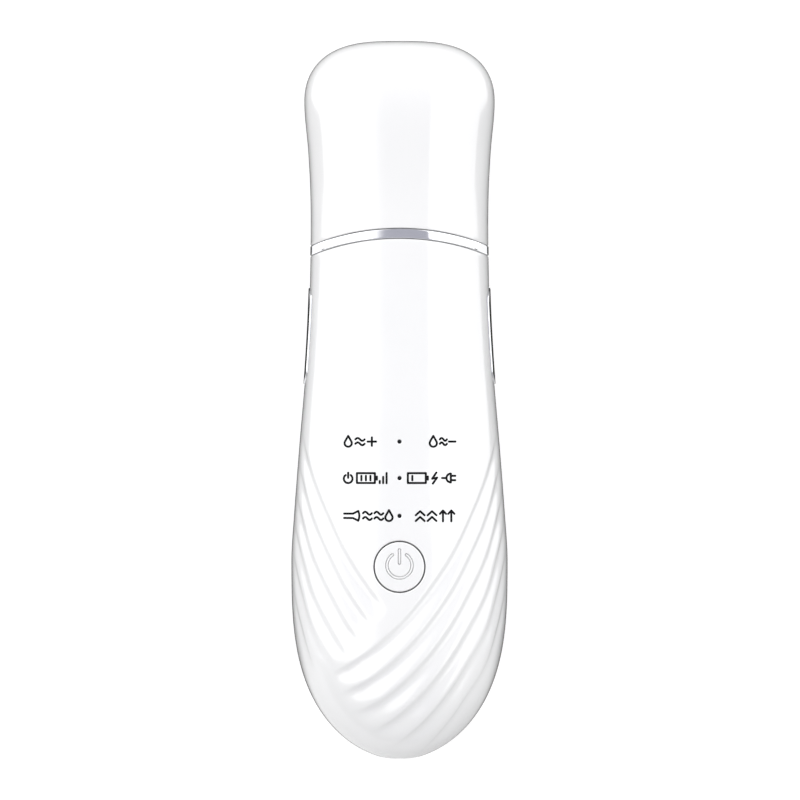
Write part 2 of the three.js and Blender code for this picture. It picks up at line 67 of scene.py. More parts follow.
RING_ARC_RADIUS = 57.6
RING_BOTTOM = 36.85
RING_TOP = 39.0
RING_PROUD = 0.05
HANDLE_EDGE = RING_BOTTOM - FIT_GAP / 2
CAP_EDGE = RING_TOP + FIT_GAP / 2
CROWNING_STARTS = 5.0
CROWNING_ENDS = 60.0

COLLAR = {"inset": 2.3, "wall": 1.6, "low": 31.5, "high": 47.0, "end_wall": 2.0}
SLOT = {"width": 30.0, "height": 5.0, "corner": 2.4}
BLADE = {"thickness": 0.8, "tip": 76.0, "bend_start": 50.0, "bend_radius": 40.0, "bend_angle": 0.14}
BLADE_NECK = 13.0
BLADE_TIP = 15.0

PAD = {"y": 14.6, "length": 22.2, "height": 7.0, "proud": 0.3, "pin_radius": 1.5, "pin_end": 16.5}
BUTTON = {"y": -38.1, "radius": 5.65, "hole": 5.95, "flange": 7.4, "flange_low": 23.2, "flange_high": 24.0,
          "stem": 2.0, "stem_low": 22.9}
LAMPS = {"top": -9.6, "middle": -17.9, "bottom": -26.5}
LAMP_RADIUS = 0.32
LAMP_HOLE = 0.45
LAMP_FOOT = {"radius": 1.2, "low": 19.9, "high": 21.6}
PORT = {"width": 8.94, "height": 3.26, "length": 7.3, "mouth": -81.6, "wall": 0.3}
PORT_HOLE = {"half_width": 4.77, "half_height": 1.93}
TONGUE_THICKNESS = 0.7
TABLE_Z = 0.0

# Every moulded edge is rounded over this width, in these steps.
LIP = 0.25
LIP_STEPS = np.array([0, 0.02, 0.06, 0.12, 0.19, 0.25])


# ---------- the outer form ----------

def smoothstep(value):
    t = np.clip(value, 0.0, 1.0)
    return t * t * (3 - 2 * t)


def smooth_through(stations, y):
    """Smooth curve through (station, value) pairs, level at both ends."""
    at, value = np.array(stations, float).T
    slope = np.zeros(len(at))
    slope[1:-1] = (value[2:] - value[:-2]) / (at[2:] - at[:-2])
    left = np.clip(np.searchsorted(at, y, side="left") - 1, 0, len(at) - 2)
    span = at[left + 1] - at[left]
    t = np.clip((y - at[left]) / span, 0, 1)
    bend = value[left] + (value[left + 1] - value[left]) * t * t * (3 - 2 * t)
    return bend + span * t * (1 - t) * (slope[left] * (1 - t) - slope[left + 1] * t)


def round_end(distance, reach, end):
    """Quarter of a superellipse: 1 at the start of a rounded end and 0 at its tip."""
    ratio = np.clip(distance / reach, 0, 1)
    return (1 - ratio ** end["along"]) ** (1 / end["across"])


def end_factor(y, inset, low, high):
    tail = round_end(low["y"] - y, low["y"] + END + TAIL_OVERRUN - inset, low)
    head = round_end(y - high["y"], END - high["y"] - inset, high)
    return np.where(y < low["y"], tail, np.where(y > high["y"], head, 1.0))


def half_width(y, inset=0.0):
    stations = [(BELLY["y"], BELLY["value"])] + WAIST + [(SHOULDER["y"], SHOULDER["value"])]
    return (smooth_through(stations, y) - inset) * end_factor(y, inset, BELLY, SHOULDER)


def front_rise(y, inset=0.0):
    stations = [(HEEL["y"], HEEL["front"])] + FRONT_PROFILE + [(CROWN["y"], CROWN["front"])]
    return (smooth_through(stations, y) - PARTING_Z - inset) * end_factor(y, inset, HEEL, CROWN)


def back_drop(y, inset=0.0):
    stations = [(HEEL["y"], HEEL["back"])] + BACK_PROFILE + [(CROWN["y"], CROWN["back"])]
    return (PARTING_Z - smooth_through(stations, y) - inset) * end_factor(y, inset, HEEL, CROWN)


def power(value, exponent):
    return np.sign(value) * np.abs(value) ** exponent


def crown_drop(x):
    """How far the ring's arcs fall from their crown at x."""
    return RING_ARC_RADIUS - np.sqrt(RING_ARC_RADIUS ** 2 - x ** 2)


def lip_inset(distance):
    """How far a rounded edge falls away at a distance from it."""
    inner = LIP - np.clip(distance, 0, LIP)
    return LIP - np.sqrt(LIP * LIP - inner * inner)


# ---------- the grip relief ----------

RELIEF_DEPTH = 0.5
RELIEF_BLUR = (-0.2, -0.1, 0.0, 0.1, 0.2)

# The first ripple's crest, as (x, y), and the pitch to the next one. The left family mirrors it.
FIRST_CREST = [(-24, -64.5), (-16, -62.5), (-12, -60.5), (-6, -56.4), (0, -50.9), (6, -43.8), (12, -34.8),
               (16, -26.6), (20, -16.5), (22.8, -6), (26, 6)]
RIPPLE_PITCH = [(-14, 5.9), (-5, 6.9), (5, 7.75), (14, 8.45), (23, 9.7)]
RIPPLE_CLOSING = 0.018
LAST_RIPPLE = 5.3


def relief_step(count):
    """Section of one ripple: a crest at every whole number, a quick fall, then a long gentle rise."""
    phase = count - np.floor(count)
    return 8.39 * phase * (1 - phase) ** 2.6


def ripple_count(x, y):
    """How many ripples lie between the first crest and a point; the pitch closes up slowly."""
    passed = (smooth_through(FIRST_CREST, x) - y) / smooth_through(RIPPLE_PITCH, x)
    return (1 - np.sqrt(np.clip(1 - 4 * RIPPLE_CLOSING * passed, 0, None))) / (2 * RIPPLE_CLOSING)


def sharp_relief(x, y):
    right = ripple_count(x, y)
    left = ripple_count(-x, y)
    reach = np.abs(x) / np.maximum(half_width(y), 1e-6)
    side_fade = (1 - 0.5 * smoothstep((reach - 0.55) / 0.3)) * (1 - smoothstep((reach - 0.925) / 0.065))

    tail = np.clip(BELLY["y"] - y, 0, None) / (BELLY["y"] + END + TAIL_OVERRUN)
    tail_reach = np.hypot(x / BELLY["value"], tail)
    tail_fade = 1 - smoothstep((tail_reach - 0.80 - 0.0072 * x) / 0.17)
    last_right = 1 - smoothstep((right - LAST_RIPPLE) / 0.7)
    right_relief = np.where(right > 0, relief_step(right) * tail_fade * last_right, 0.0)

    last_left = 1 - smoothstep((left - LAST_RIPPLE) / 0.7)
    meeting = smoothstep((-right - 0.1 - 0.045 * (x + 16)) / 1.1)
    left_relief = np.where((left > 0) & (right < 0), relief_step(left) * last_left * meeting, 0.0)
    return (right_relief + left_relief) * side_fade


def relief_inset(x, y):
    """How far the ripples of the lower front are set in from the outer form."""
    total = sum(sharp_relief(x, y + shift) for shift in RELIEF_BLUR)
    return RELIEF_DEPTH * total / len(RELIEF_BLUR)


def front_height(x, y):
    reach = np.clip(np.abs(x) / np.maximum(half_width(y), 1e-6), 0, 1)
    return PARTING_Z + front_rise(y) * (1 - reach ** SECTION_POWER) ** (1 / SECTION_POWER)


def front_point(x, y, inset=0.0):
    """Points of the front skin over plan positions, set in along the skin's own normal."""
    step = 0.01
    slope_x = (front_height(x + step, y) - front_height(x - step, y)) / (2 * step)
    slope_y = (front_height(x, y + step) - front_height(x, y - step)) / (2 * step)
    normal = np.stack([-slope_x, -slope_y, np.ones_like(slope_x)], -1)
    normal /= np.linalg.norm(normal, axis=-1, keepdims=True)
    point = np.stack([x, y, front_height(x, y)], -1)
    return point - normal * np.asarray(inset)[..., None]


# ---------- mesh building ----------

# Points closer together than this are joined.
MERGE = 1e-5


class Solid:
    """Points in millimetres and the faces between them."""

    def __init__(self):
        self.points = []
        self.count = 0
        self.faces = []

    def add(self, xyz):
        xyz = np.asarray(xyz, float)
        flat = xyz.reshape(-1, 3)
        ids = np.arange(self.count, self.count + len(flat)).reshape(xyz.shape[:-1])
        self.points.append(flat)
        self.count += len(flat)
        return ids

    def quads(self, ids, keep=None):
        corners = np.stack([ids[:-1, :-1], ids[:-1, 1:], ids[1:, 1:], ids[1:, :-1]], -1)
        if keep is not None:
            corners = corners[keep]
        self.faces.extend(corners.reshape(-1, 4).tolist())

    def tube(self, ids):
        """A grid whose last column joins its first."""
        self.quads(np.concatenate([ids, ids[:, :1]], 1))

    def loft(self, rings, hoop=False):
        """Rings of points joined in turn, and for a hoop the last one to the first."""
        ids = self.add(np.array(rings))
        self.tube(np.concatenate([ids, ids[:1]]) if hoop else ids)
        return ids

    def bar(self, rings):
        """A loft with one flat face at each end."""
        ids = self.loft(rings)
        self.faces.extend([ids[0].tolist(), ids[-1].tolist()])

    def fan(self, loop, tip):
        hub = int(self.add(np.array([tip]))[0])
        following = np.roll(loop, -1)
        self.faces.extend([int(a), int(b), hub] for a, b in zip(loop, following))

    def stitch(self, first, second, first_at, second_at):
        """Joins two open lines of points that have different counts, by where they lie along the seam."""
        i = j = 0
        while i < len(first) - 1 or j < len(second) - 1:
            use_first = j == len(second) - 1 or (i < len(first) - 1 and first_at[i + 1] <= second_at[j + 1])
            if use_first:
                self.faces.append([int(first[i]), int(first[i + 1]), int(second[j])])
                i += 1
            else:
                self.faces.append([int(first[i]), int(second[j + 1]), int(second[j])])
                j += 1

    def stitch_loops(self, first, second, centre):
        """Joins two loops of points round a centre in plan, by angle."""
        points = np.concatenate(self.points)
        lines = []
        for loop in (first, second):
            offset = points[loop][:, :2] - np.asarray(centre)
            angle = np.arctan2(offset[:, 1], offset[:, 0])
            if np.sum(np.angle(np.exp(1j * (np.roll(angle, -1) - angle)))) < 0:
                loop, angle = loop[::-1], angle[::-1]
            start = int(np.argmin(angle))
            loop, angle = np.roll(loop, -start), np.roll(angle, -start)
            lines.append((np.append(loop, loop[0]), np.append(angle, angle[0] + 2 * math.pi)))
        self.stitch(lines[0][0], lines[1][0], lines[0][1], lines[1][1])


def add_object(name, data):
    obj = bpy.data.objects.new(name, data)
    scene.collection.objects.link(obj)
    return obj


def piece(name, solid, slot, replaces=(), body="handle", look=None, sharp=50):
    """Makes the mesh object of a solid, hangs it on its body and hides the CAD parts it replaces. Its look is
    its slot's by default.
    """
    points = np.concatenate(solid.points)
    used = np.unique(np.concatenate([np.asarray(face) for face in solid.faces]))
    place = np.full(len(points), -1)
    place[used] = np.arange(len(used))
    faces = [[int(place[corner]) for corner in face] for face in solid.faces]
    mesh = bpy.data.meshes.new(name)
    mesh.from_pydata((points[used] * MM).tolist(), [], faces)
    work = bmesh.new()
    work.from_mesh(mesh)
    bmesh.ops.remove_doubles(work, verts=work.verts, dist=MERGE * MM)
    bmesh.ops.dissolve_degenerate(work, edges=work.edges, dist=MERGE * MM)
    bmesh.ops.recalc_face_normals(work, faces=work.faces)
    work.to_mesh(mesh)
    work.free()
    mesh.shade_smooth()
    mesh.set_sharp_from_angle(angle=math.radians(sharp))
    mesh.materials.append(LOOKS[look or slot])
    obj = add_object(name, mesh)
    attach(obj, body)
    if replaces:
        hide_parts(*replaces)
    return obj


def grid_normals(points, closed=False):
    """Outward normals of a grid of points round the scrubber's long axis."""
    if closed:
        along_columns = np.roll(points, -1, 1) - np.roll(points, 1, 1)
    else:
        along_columns = np.gradient(points, axis=1)
    normal = np.cross(np.gradient(points, axis=0), along_columns)
    normal /= np.maximum(np.linalg.norm(normal, axis=-1, keepdims=True), 1e-12)
    outward = points - np.array([0, 0, PARTING_Z])
    outward[..., 1] = 0
    flip = np.sign(np.sum(normal * outward, axis=-1, keepdims=True))
    return normal * np.where(flip == 0, 1, flip)


def distance_along(line):
    """Distance of each point of a line from its first point."""
    return np.concatenate([[0], np.cumsum(np.linalg.norm(np.diff(line, axis=0), axis=1))])


def respaced(line, wanted):
    """Points at the wanted distances along a line."""
    at = distance_along(line)
    return np.stack([np.interp(wanted, at, column) for column in line.T], -1)


def resample_rows(points, positions):
    """Each row of points again, at the distances that positions gives for rows of their lengths."""
    lengths = np.array([distance_along(row)[-1] for row in points])
    return np.array([respaced(row, wanted) for row, wanted in zip(points, positions(lengths))])


def paced(low, high, spacing):
    """Stations from low to high, spaced along the skin as asked, and finer where it rounds off."""
    t = np.linspace(0, 1, 40001)
    y = high - (high - low) * (1 - t) ** 3 if high > CROWN["y"] else low + (high - low) * t
    outline = np.stack([y, half_width(y), front_rise(y)], -1)
    length = np.linalg.norm(np.diff(outline, axis=0), axis=1)
    pace = length / spacing((y[1:] + y[:-1]) / 2)
    total = np.concatenate([[0], np.cumsum(pace)])
    count = int(math.ceil(total[-1]))
    return np.interp(np.linspace(0, total[-1], count + 1), total, y)


def plan_loop(ids, removed):
    """The loop of grid points round a block of removed faces."""
    edges = set()
    for i, j in zip(*np.nonzero(removed)):
        corners = [(i, j), (i, j + 1), (i + 1, j + 1), (i + 1, j)]
        edges.update(zip(corners, corners[1:] + corners[:1]))
    edges = {start: end for start, end in sorted(edges) if (end, start) not in edges}
    loop = [next(iter(edges))]
    while edges[loop[-1]] != loop[0]:
        loop.append(edges[loop[-1]])
    return np.array([ids[i, j] for i, j in loop])


def circle(centre, radius, count):
    angle = np.arange(count) * 2 * math.pi / count
    return centre[0] + radius * np.cos(angle), centre[1] + radius * np.sin(angle)


# ---------- half shells of the handle ----------

def handle_crowning(centre_y):
    return smoothstep((centre_y - CROWNING_STARTS) / (HANDLE_EDGE - CROWNING_STARTS))


def notch_height(y):
    """Half height of the opening for an electrode, where it crosses the parting line."""
    radius = PAD["height"] / 2 + FIT_GAP
    straight = PAD["length"] / 2 - PAD["height"] / 2
    beyond = np.clip(np.abs(y - PAD["y"]) - straight, 0, None)
    return np.where(beyond < radius, np.sqrt(np.clip(radius ** 2 - beyond ** 2, 0, None)), 0.0)


def handle_section(centre_y, front):
    """Dense rows of the half skin, from the left edge over the crown to the right edge."""
    row_y = centre_y[:, None]
    crowning = handle_crowning(row_y)
    rise = front_rise if front else back_drop
    edge_y = row_y
    for _ in range(8):
        edge_y = row_y - crowning * crown_drop(half_width(edge_y))
    start = np.maximum(FIT_GAP / 2, notch_height(edge_y))
    edge_angle = np.arccos(np.clip((start / rise(edge_y)) ** (1 / SECTION_ROOT), 0, 1))
    angle = edge_angle * np.linspace(-1, 1, 701)[None, :]
    y = row_y + 0 * angle
    for _ in range(8):
        x = half_width(y) * power(np.sin(angle), SECTION_ROOT)
        y = row_y - crowning * crown_drop(x)
    height = rise(y) * power(np.cos(angle), SECTION_ROOT)
    return np.stack([x, y, PARTING_Z + (height if front else -height)], -1)


def edge_to_centre(edge_y):
    """The crown station of the row that meets the parting line at edge_y."""
    centre = np.linspace(-END, HANDLE_EDGE, 4001)
    edge = centre
    for _ in range(8):
        edge = centre - handle_crowning(centre) * crown_drop(half_width(edge))
    return np.interp(edge_y, edge, centre)


def lipped_columns(count):
    """Column positions with rounding steps at both ends of each row."""
    def positions(lengths):
        inner = np.linspace(0, 1, count - 2 * len(LIP_STEPS) + 2)[1:-1]
        rows = []
        for length in lengths:
            middle = LIP + inner * (length - 2 * LIP)
            rows.append(np.concatenate([LIP_STEPS, middle, length - LIP_STEPS[::-1]]))
        return np.array(rows)
    return positions


def port_outline(grow, front, count):
    """The upper or lower half of the socket opening, left to right."""
    radius = PORT_HOLE["half_height"] + grow
    straight = PORT_HOLE["half_width"] - PORT_HOLE["half_height"]
    angle = np.linspace(math.asin(FIT_GAP / 2 / radius), math.pi / 2, 60)
    left = np.stack([-straight - radius * np.cos(angle), radius * np.sin(angle)], -1)
    line = np.concatenate([left, left[::-1] * [-1, 1]])
    x, z = respaced(line, np.linspace(0, distance_along(line)[-1], count)).T
    return np.stack([x, 0 * x, PARTING_Z + (z if front else -z)], -1)


TAIL_ROW = -82.0
LAND_ROWS = ((0.0, 1.9), (0.0, 0.22), (0.05, 0.06), (0.16, 0.0))


def tail_surface(x, rise_z, front):
    """Where the skin of the tail, or its flat end, lies behind points given in x and height."""
    rise = front_rise if front else back_drop
    low, high = np.full(len(x), -END), np.full(len(x), -75.0)
    for _ in range(40):
        middle = (low + high) / 2
        reach = (np.abs(x) / half_width(middle)) ** SECTION_POWER + (rise_z / rise(middle)) ** SECTION_POWER
        low, high = np.where(reach > 1, middle, low), np.where(reach > 1, high, middle)
    return high


def tail_rows(section, front, count):
    """Rows from inside the socket opening, over its rounded edge, to the tail's first section."""
    rows = []
    for grow, sunk in LAND_ROWS:
        line = port_outline(grow, front, count)
        line[:, 1] = tail_surface(line[:, 0], np.abs(line[:, 2] - PARTING_Z), front) + sunk
        rows.append(line)
    rows[0][:, 1] = -END + LAND_ROWS[0][1]
    for share in (0.33, 0.67):
        line = rows[3] * (1 - share) + section * share
        line[:, 1] = tail_surface(line[:, 0], np.abs(line[:, 2] - PARTING_Z), front)
        rows.append(line)
    return rows


def handle_rows(fine):
    """Crown stations of the rows, and whether each is kept in the coarser inner skin."""
    spacing = (lambda y: np.where(y < -11, 0.34, 0.75)) if fine else (lambda y: 0 * y + 0.8)
    regular = paced(TAIL_ROW, HANDLE_EDGE - LIP, spacing)
    steps = (PAD["height"] / 2 + FIT_GAP) * (1 - np.cos(np.linspace(0, math.pi / 2, 9)))
    notch = []
    for side in (1, -1):
        end = PAD["y"] - side * (PAD["length"] / 2 + FIT_GAP)
        notch.extend(end + side * steps)
        notch.append(end - side * 0.01)
    notch = edge_to_centre(np.array(sorted(notch)))
    spaced = np.array([y for y in regular if np.min(np.abs(notch - y)) > 0.2])
    rows = np.unique(np.concatenate([spaced, notch, HANDLE_EDGE - LIP_STEPS]))
    kept = np.array([np.any(np.isclose(y, notch)) for y in rows])
    kept[::3] = True
    kept[[0, -1]] = True
    return rows, kept & ((rows <= HANDLE_EDGE - LIP) | (rows == HANDLE_EDGE))


def distance_from_sides(points):
    """How far each point lies from the nearer end of its row."""
    steps = np.linalg.norm(np.diff(points, axis=1), axis=-1)
    start = np.zeros((len(points), 1))
    from_left = np.cumsum(np.concatenate([start, steps], axis=1), axis=1)
    from_right = np.cumsum(np.concatenate([start, steps[:, ::-1]], axis=1), axis=1)[:, ::-1]
    return np.minimum(from_left, from_right)


def half_shell(front, holes=()):
    """One half of the handle: a fine outer skin, a plainer inner skin, and the rims between them."""
    solid = Solid()
    rows, kept_rows = handle_rows(front)
    column_count = 172 if front else 96
    base = resample_rows(handle_section(rows, front), lipped_columns(column_count))
    normal = grid_normals(base)
    inset = np.maximum(lip_inset(HANDLE_EDGE - rows)[:, None], lip_inset(distance_from_sides(base)))
    if front:
        inset = inset + relief_inset(base[..., 0], base[..., 1])
    outer = base - normal * inset[..., None]
    if not front:
        outer[..., 2] = np.maximum(outer[..., 2], TABLE_Z)
    outer_ids = solid.add(outer)

    kept_columns = np.zeros(column_count, bool)
    kept_columns[len(LIP_STEPS):-len(LIP_STEPS):3] = True
    kept_columns[[0, -1]] = True
    inner = (base - normal * WALL)[kept_rows][:, kept_columns]
    inner_ids = solid.add(inner)

    outer_keep = np.ones((len(rows) - 1, column_count - 1), bool)
    inner_keep = np.ones((inner.shape[0] - 1, inner.shape[1] - 1), bool)
    for centre, radius, count in holes:
        open_hole(solid, (outer, outer_ids, outer_keep), (inner, inner_ids, inner_keep), centre, radius,
                  count)
    solid.quads(outer_ids, outer_keep)
    solid.quads(inner_ids, inner_keep)

    land = [solid.add(line) for line in tail_rows(outer[0], front, column_count)]
    solid.quads(np.array(land + [outer_ids[0]]))
    across = np.linspace(0, 1, column_count)
    solid.stitch(land[0], inner_ids[0], across, across[kept_columns])
    solid.stitch(outer_ids[-1], inner_ids[-1], across, across[kept_columns])
    outer_at = np.concatenate([[TAIL_ROW - 1] * len(land), rows])
    for column in (0, -1):
        side = np.concatenate([[row[column] for row in land], outer_ids[:, column]])
        solid.stitch(side, inner_ids[:, column], outer_at, rows[kept_rows])
    return solid


# The grid's faces stop this far from a hole's own rings.
OUTER_CLEARANCE = 0.18
INNER_CLEARANCE = 0.4


def open_hole(solid, outer_grid, inner_grid, centre, radius, count):
    """A round hole with a rounded edge through both skins of the front."""
    rings = radius + np.concatenate([LIP_STEPS, [0.4]])
    ids = []
    for ring in rings:
        x, y = circle(centre, ring, count)
        inset = relief_inset(x, y) + lip_inset(np.full(count, ring - radius))
        ids.append(solid.add(front_point(x, y, inset)))
    solid.tube(np.array(ids))
    x, y = circle(centre, radius, count)
    bottom = solid.add(front_point(x, y, np.full(count, WALL)) * [0, 0, 1] + np.stack([x, y, 0 * x], -1))
    solid.tube(np.array([ids[0], bottom]))
    for (points, grid_ids, keep), ring_ids, reach in (
            (outer_grid, ids[-1], rings[-1] + OUTER_CLEARANCE),
            (inner_grid, bottom, radius + INNER_CLEARANCE)):
        near = np.hypot(points[..., 0] - centre[0], points[..., 1] - centre[1]) < reach
        removed = near[:-1, :-1] | near[:-1, 1:] | near[1:, 1:] | near[1:, :-1]
        keep &= ~removed
        solid.stitch_loops(ring_ids, plan_loop(grid_ids, removed), centre)


# ---------- closed sleeves: cap and trim ring ----------

def sleeve_section(centre_y, crowning):
    """Dense closed rows of the whole skin, from the right edge over the front."""
    row_y = centre_y[:, None]
    angle = np.linspace(0, 2 * math.pi, 1201)[None, :]
    y = row_y + 0 * angle
    for _ in range(10):
        x = half_width(y) * power(np.cos(angle), SECTION_ROOT)
        y = row_y - crowning[:, None] * crown_drop(x)
    height = np.where(np.sin(angle) > 0, front_rise(y), back_drop(y)) * power(np.sin(angle), SECTION_ROOT)
    return np.stack([x, y, PARTING_Z + height], -1)


def even_columns(count):
    def positions(lengths):
        return lengths[:, None] * (np.arange(count) / count)[None, :]
    return positions


def protective_cap():
    solid = Solid()
    columns = 208
    rows = np.concatenate([CAP_EDGE + LIP_STEPS[:-1], paced(CAP_EDGE + LIP, END, lambda y: 0 * y + 0.7)[:-1]])
    crowning = 1 - smoothstep((rows - CAP_EDGE) / (CROWNING_ENDS - CAP_EDGE))
    base = resample_rows(sleeve_section(rows, crowning), even_columns(columns))
    normal = grid_normals(base, closed=True)
    tip_normal = np.array([0, 1, 0])
    blend = smoothstep((rows - 82.3) / 0.2)[:, None, None]
    normal = normal * (1 - blend) + tip_normal * blend
    normal /= np.linalg.norm(normal, axis=-1, keepdims=True)
    outer = base - normal * lip_inset(rows - CAP_EDGE)[:, None, None]
    outer_ids = solid.add(outer)
    solid.tube(outer_ids)
    solid.fan(outer_ids[-1], (0, END, PARTING_Z))
    kept = np.zeros(len(rows), bool)
    kept[len(LIP_STEPS)::2] = True
    kept[[0, -1]] = True
    inner_ids = solid.add((base - normal * WALL)[kept])
    solid.tube(inner_ids)
    solid.fan(inner_ids[-1], (0, END - WALL, PARTING_Z))
    solid.tube(np.array([outer_ids[0], inner_ids[0]]))
    return solid


def trim_ring():
    solid = Solid()
    columns = 240
    across = np.concatenate([LIP_STEPS, np.linspace(LIP, RING_TOP - RING_BOTTOM - LIP, 7)[1:-1],
                             RING_TOP - RING_BOTTOM - LIP_STEPS[::-1]])
    rows = RING_BOTTOM + across
    base = resample_rows(sleeve_section(rows, np.ones(len(rows))), even_columns(columns))
    normal = grid_normals(base, closed=True)
    edge = np.minimum(across, RING_TOP - RING_BOTTOM - across)
    inset = lip_inset(edge) - RING_PROUD
    outer = solid.add(base - normal * inset[:, None, None])
    inner = solid.add((base - normal * WALL)[[-1, 0]])
    solid.tube(np.concatenate([outer, inner, outer[:1]]))
    return solid


# ---------- lofted closed outlines ----------

def quarter_ellipse(width, height):
    angle = np.linspace(0, math.pi / 2, 200)
    return np.stack([width * np.cos(angle) ** SECTION_ROOT, height * np.sin(angle) ** SECTION_ROOT], -1)


def quarter_rectangle(width, height, corner):
    angle = np.linspace(0, math.pi / 2, 60)
    arc = np.stack([width - corner + corner * np.cos(angle), height - corner + corner * np.sin(angle)], -1)
    flat_side = np.stack([np.full(10, width), np.linspace(0, height - corner, 10)], -1)
    flat_top = np.stack([np.linspace(width - corner, 0, 40), np.full(40, height)], -1)
    return np.concatenate([flat_side, arc[1:], flat_top[1:]])


def closed_outline(upper, lower, count):
    """A closed outline in x and z from its two right quarters, with count points in each quarter."""
    quarters = []
    for line, mirror in ((upper, (1, 1)), (upper[::-1], (-1, 1)), (lower, (-1, -1)), (lower[::-1], (1, -1))):
        wanted = np.linspace(0, distance_along(line)[-1], count + 1)[:-1]
        quarters.append(respaced(line, wanted) * mirror)
    return np.concatenate(quarters)


def section_outline(y, inset, count):
    y = np.array(y)
    width = half_width(y, inset)
    return closed_outline(quarter_ellipse(width, front_rise(y, inset)),
                          quarter_ellipse(width, back_drop(y, inset)), count)


def rectangle_outline(width, height, corner, count):
    quarter = quarter_rectangle(width / 2, height / 2, min(corner, height / 2 - 1e-3))
    return closed_outline(quarter, quarter, count)


def at_station(outline, y):
    return np.stack([outline[:, 0], np.full(len(outline), y), PARTING_Z + outline[:, 1]], -1)


def quarter_turn(first, steps):
    """Sine and 1 - cosine at steps through a quarter of a turn, for rounding an edge."""
    angle = np.linspace(first, 1, steps) * math.pi / 2
    return [(math.sin(a), 1 - math.cos(a)) for a in angle]


def neck_collar():
    """The hollow neck, with a low bead that grips the cap and a slot for the blade in its end wall."""
    low, high, inset = COLLAR["low"], COLLAR["high"], COLLAR["inset"]
    end_wall, inner = high - COLLAR["end_wall"], inset + COLLAR["wall"]
    rounding, soft, count = 0.6, 0.2, 44
    bead = {"y": 43.6, "height": 0.14, "spread": 0.45}

    def ring(y, at_inset):
        return at_station(section_outline(y, at_inset, count), y)

    rings = []
    for y in np.linspace(low + 0.2, high - rounding, 44):
        swell = bead["height"] * math.exp(-((y - bead["y"]) / bead["spread"]) ** 2)
        rings.append(ring(y, inset - swell))
    for rise, fall in quarter_turn(0.2, 6):
        rings.append(ring(high - rounding + rounding * rise, inset + rounding * fall))
    face = section_outline(high, inset + rounding, count)
    slot = rectangle_outline(SLOT["width"], SLOT["height"], SLOT["corner"], count)
    wide = rectangle_outline(SLOT["width"] + 2 * soft, SLOT["height"] + 2 * soft, SLOT["corner"] + soft,
                             count)
    rings += [at_station(face * (1 - share) + wide * share, high) for share in (0.25, 0.5, 0.75, 1.0)]
    rings += [at_station(slot * 0.7 + wide * 0.3, high - 0.06), at_station(slot, high - soft),
              at_station(slot, end_wall)]
    rings += [ring(end_wall, inner), ring(38.0, inner), ring(low, inner), ring(low, inset + 0.2)]
    solid = Solid()
    solid.loft(rings, hoop=True)
    return solid


def blade_gasket():
    """A soft plug in the collar's slot, with a rounded lip outside and a tight opening for the blade."""
    face = COLLAR["high"] + FIT_GAP
    top, inner_end = face + 1.1, COLLAR["high"] - COLLAR["end_wall"] - 0.5
    rounding = 0.45
    plug = (SLOT["width"] - 2 * FIT_GAP, SLOT["height"] - 2 * FIT_GAP)
    lip = (plug[0] + 3, plug[1] + 3)
    opening = (2 * BLADE_NECK + 2 * FIT_GAP, BLADE["thickness"] + 2 * FIT_GAP)

    def outline(size, grow, corner):
        return rectangle_outline(size[0] + grow, size[1] + grow, corner, 40)

    narrow, wide = outline(opening, 0, 0.6), outline(opening, 0.7, 0.95)
    edge = outline(lip, -2 * rounding, 3.2)
    rings = [(narrow, inner_end), (outline(plug, 0, 2.1), inner_end), (outline(plug, 0, 2.1), face),
             (outline(lip, -0.3, 3.1), face), (outline(lip, 0, 3.2), face + 0.15)]
    for rise, fall in quarter_turn(0, 7):
        rings.append((outline(lip, -2 * rounding * fall, 3.2), top - rounding + rounding * rise))
    rings += [(edge * (1 - share) + wide * share, top - sink) for share, sink in ((0.35, 0.02), (0.7, 0.12))]
    rings += [(wide, top - 0.22), (narrow, top - 0.55)]
    solid = Solid()
    solid.loft([at_station(*ring) for ring in rings], hoop=True)
    return solid


# ---------- blade ----------

def blade_half_width(station):
    line = [(2, 10), (21.5, 10), (24, 15.5), (29.5, 15.5), (32, BLADE_NECK), (49.5, BLADE_NECK),
            (69.5, BLADE_TIP), (76, BLADE_TIP)]
    at, value = np.array(line, float).T
    index = np.clip(np.searchsorted(at, station, side="right") - 1, 0, len(at) - 2)
    t = np.clip((station - at[index]) / (at[index + 1] - at[index]), 0, 1)
    return value[index] + (value[index + 1] - value[index]) * t * t * (3 - 2 * t)


def blade_end(x):
    """Where the tip edge runs, with its two rounded corners."""
    corner_start, corner_low = 12.4, 69.5
    middle = BLADE["tip"] - 2.2 * (np.minimum(np.abs(x), corner_start) / corner_start) ** 2
    into = np.clip((np.abs(x) - corner_start) / (BLADE_TIP - corner_start), 0, 1)
    base = BLADE["tip"] - 2.2
    return np.where(into > 0, corner_low + (base - corner_low) * np.sqrt(1 - into ** 2), middle)


def blade_centre(y):
    """Height and slope of the sheet: flat to the neck, then bent gently to the front."""
    turn = np.clip((y - BLADE["bend_start"]) / BLADE["bend_radius"], 0, math.sin(BLADE["bend_angle"]))
    angle = np.arcsin(turn)
    beyond = np.clip(y - BLADE["bend_start"] - BLADE["bend_radius"] * math.sin(BLADE["bend_angle"]), 0, None)
    height = BLADE["bend_radius"] * (1 - np.cos(angle)) + beyond * math.tan(BLADE["bend_angle"])
    return PARTING_Z + height, angle


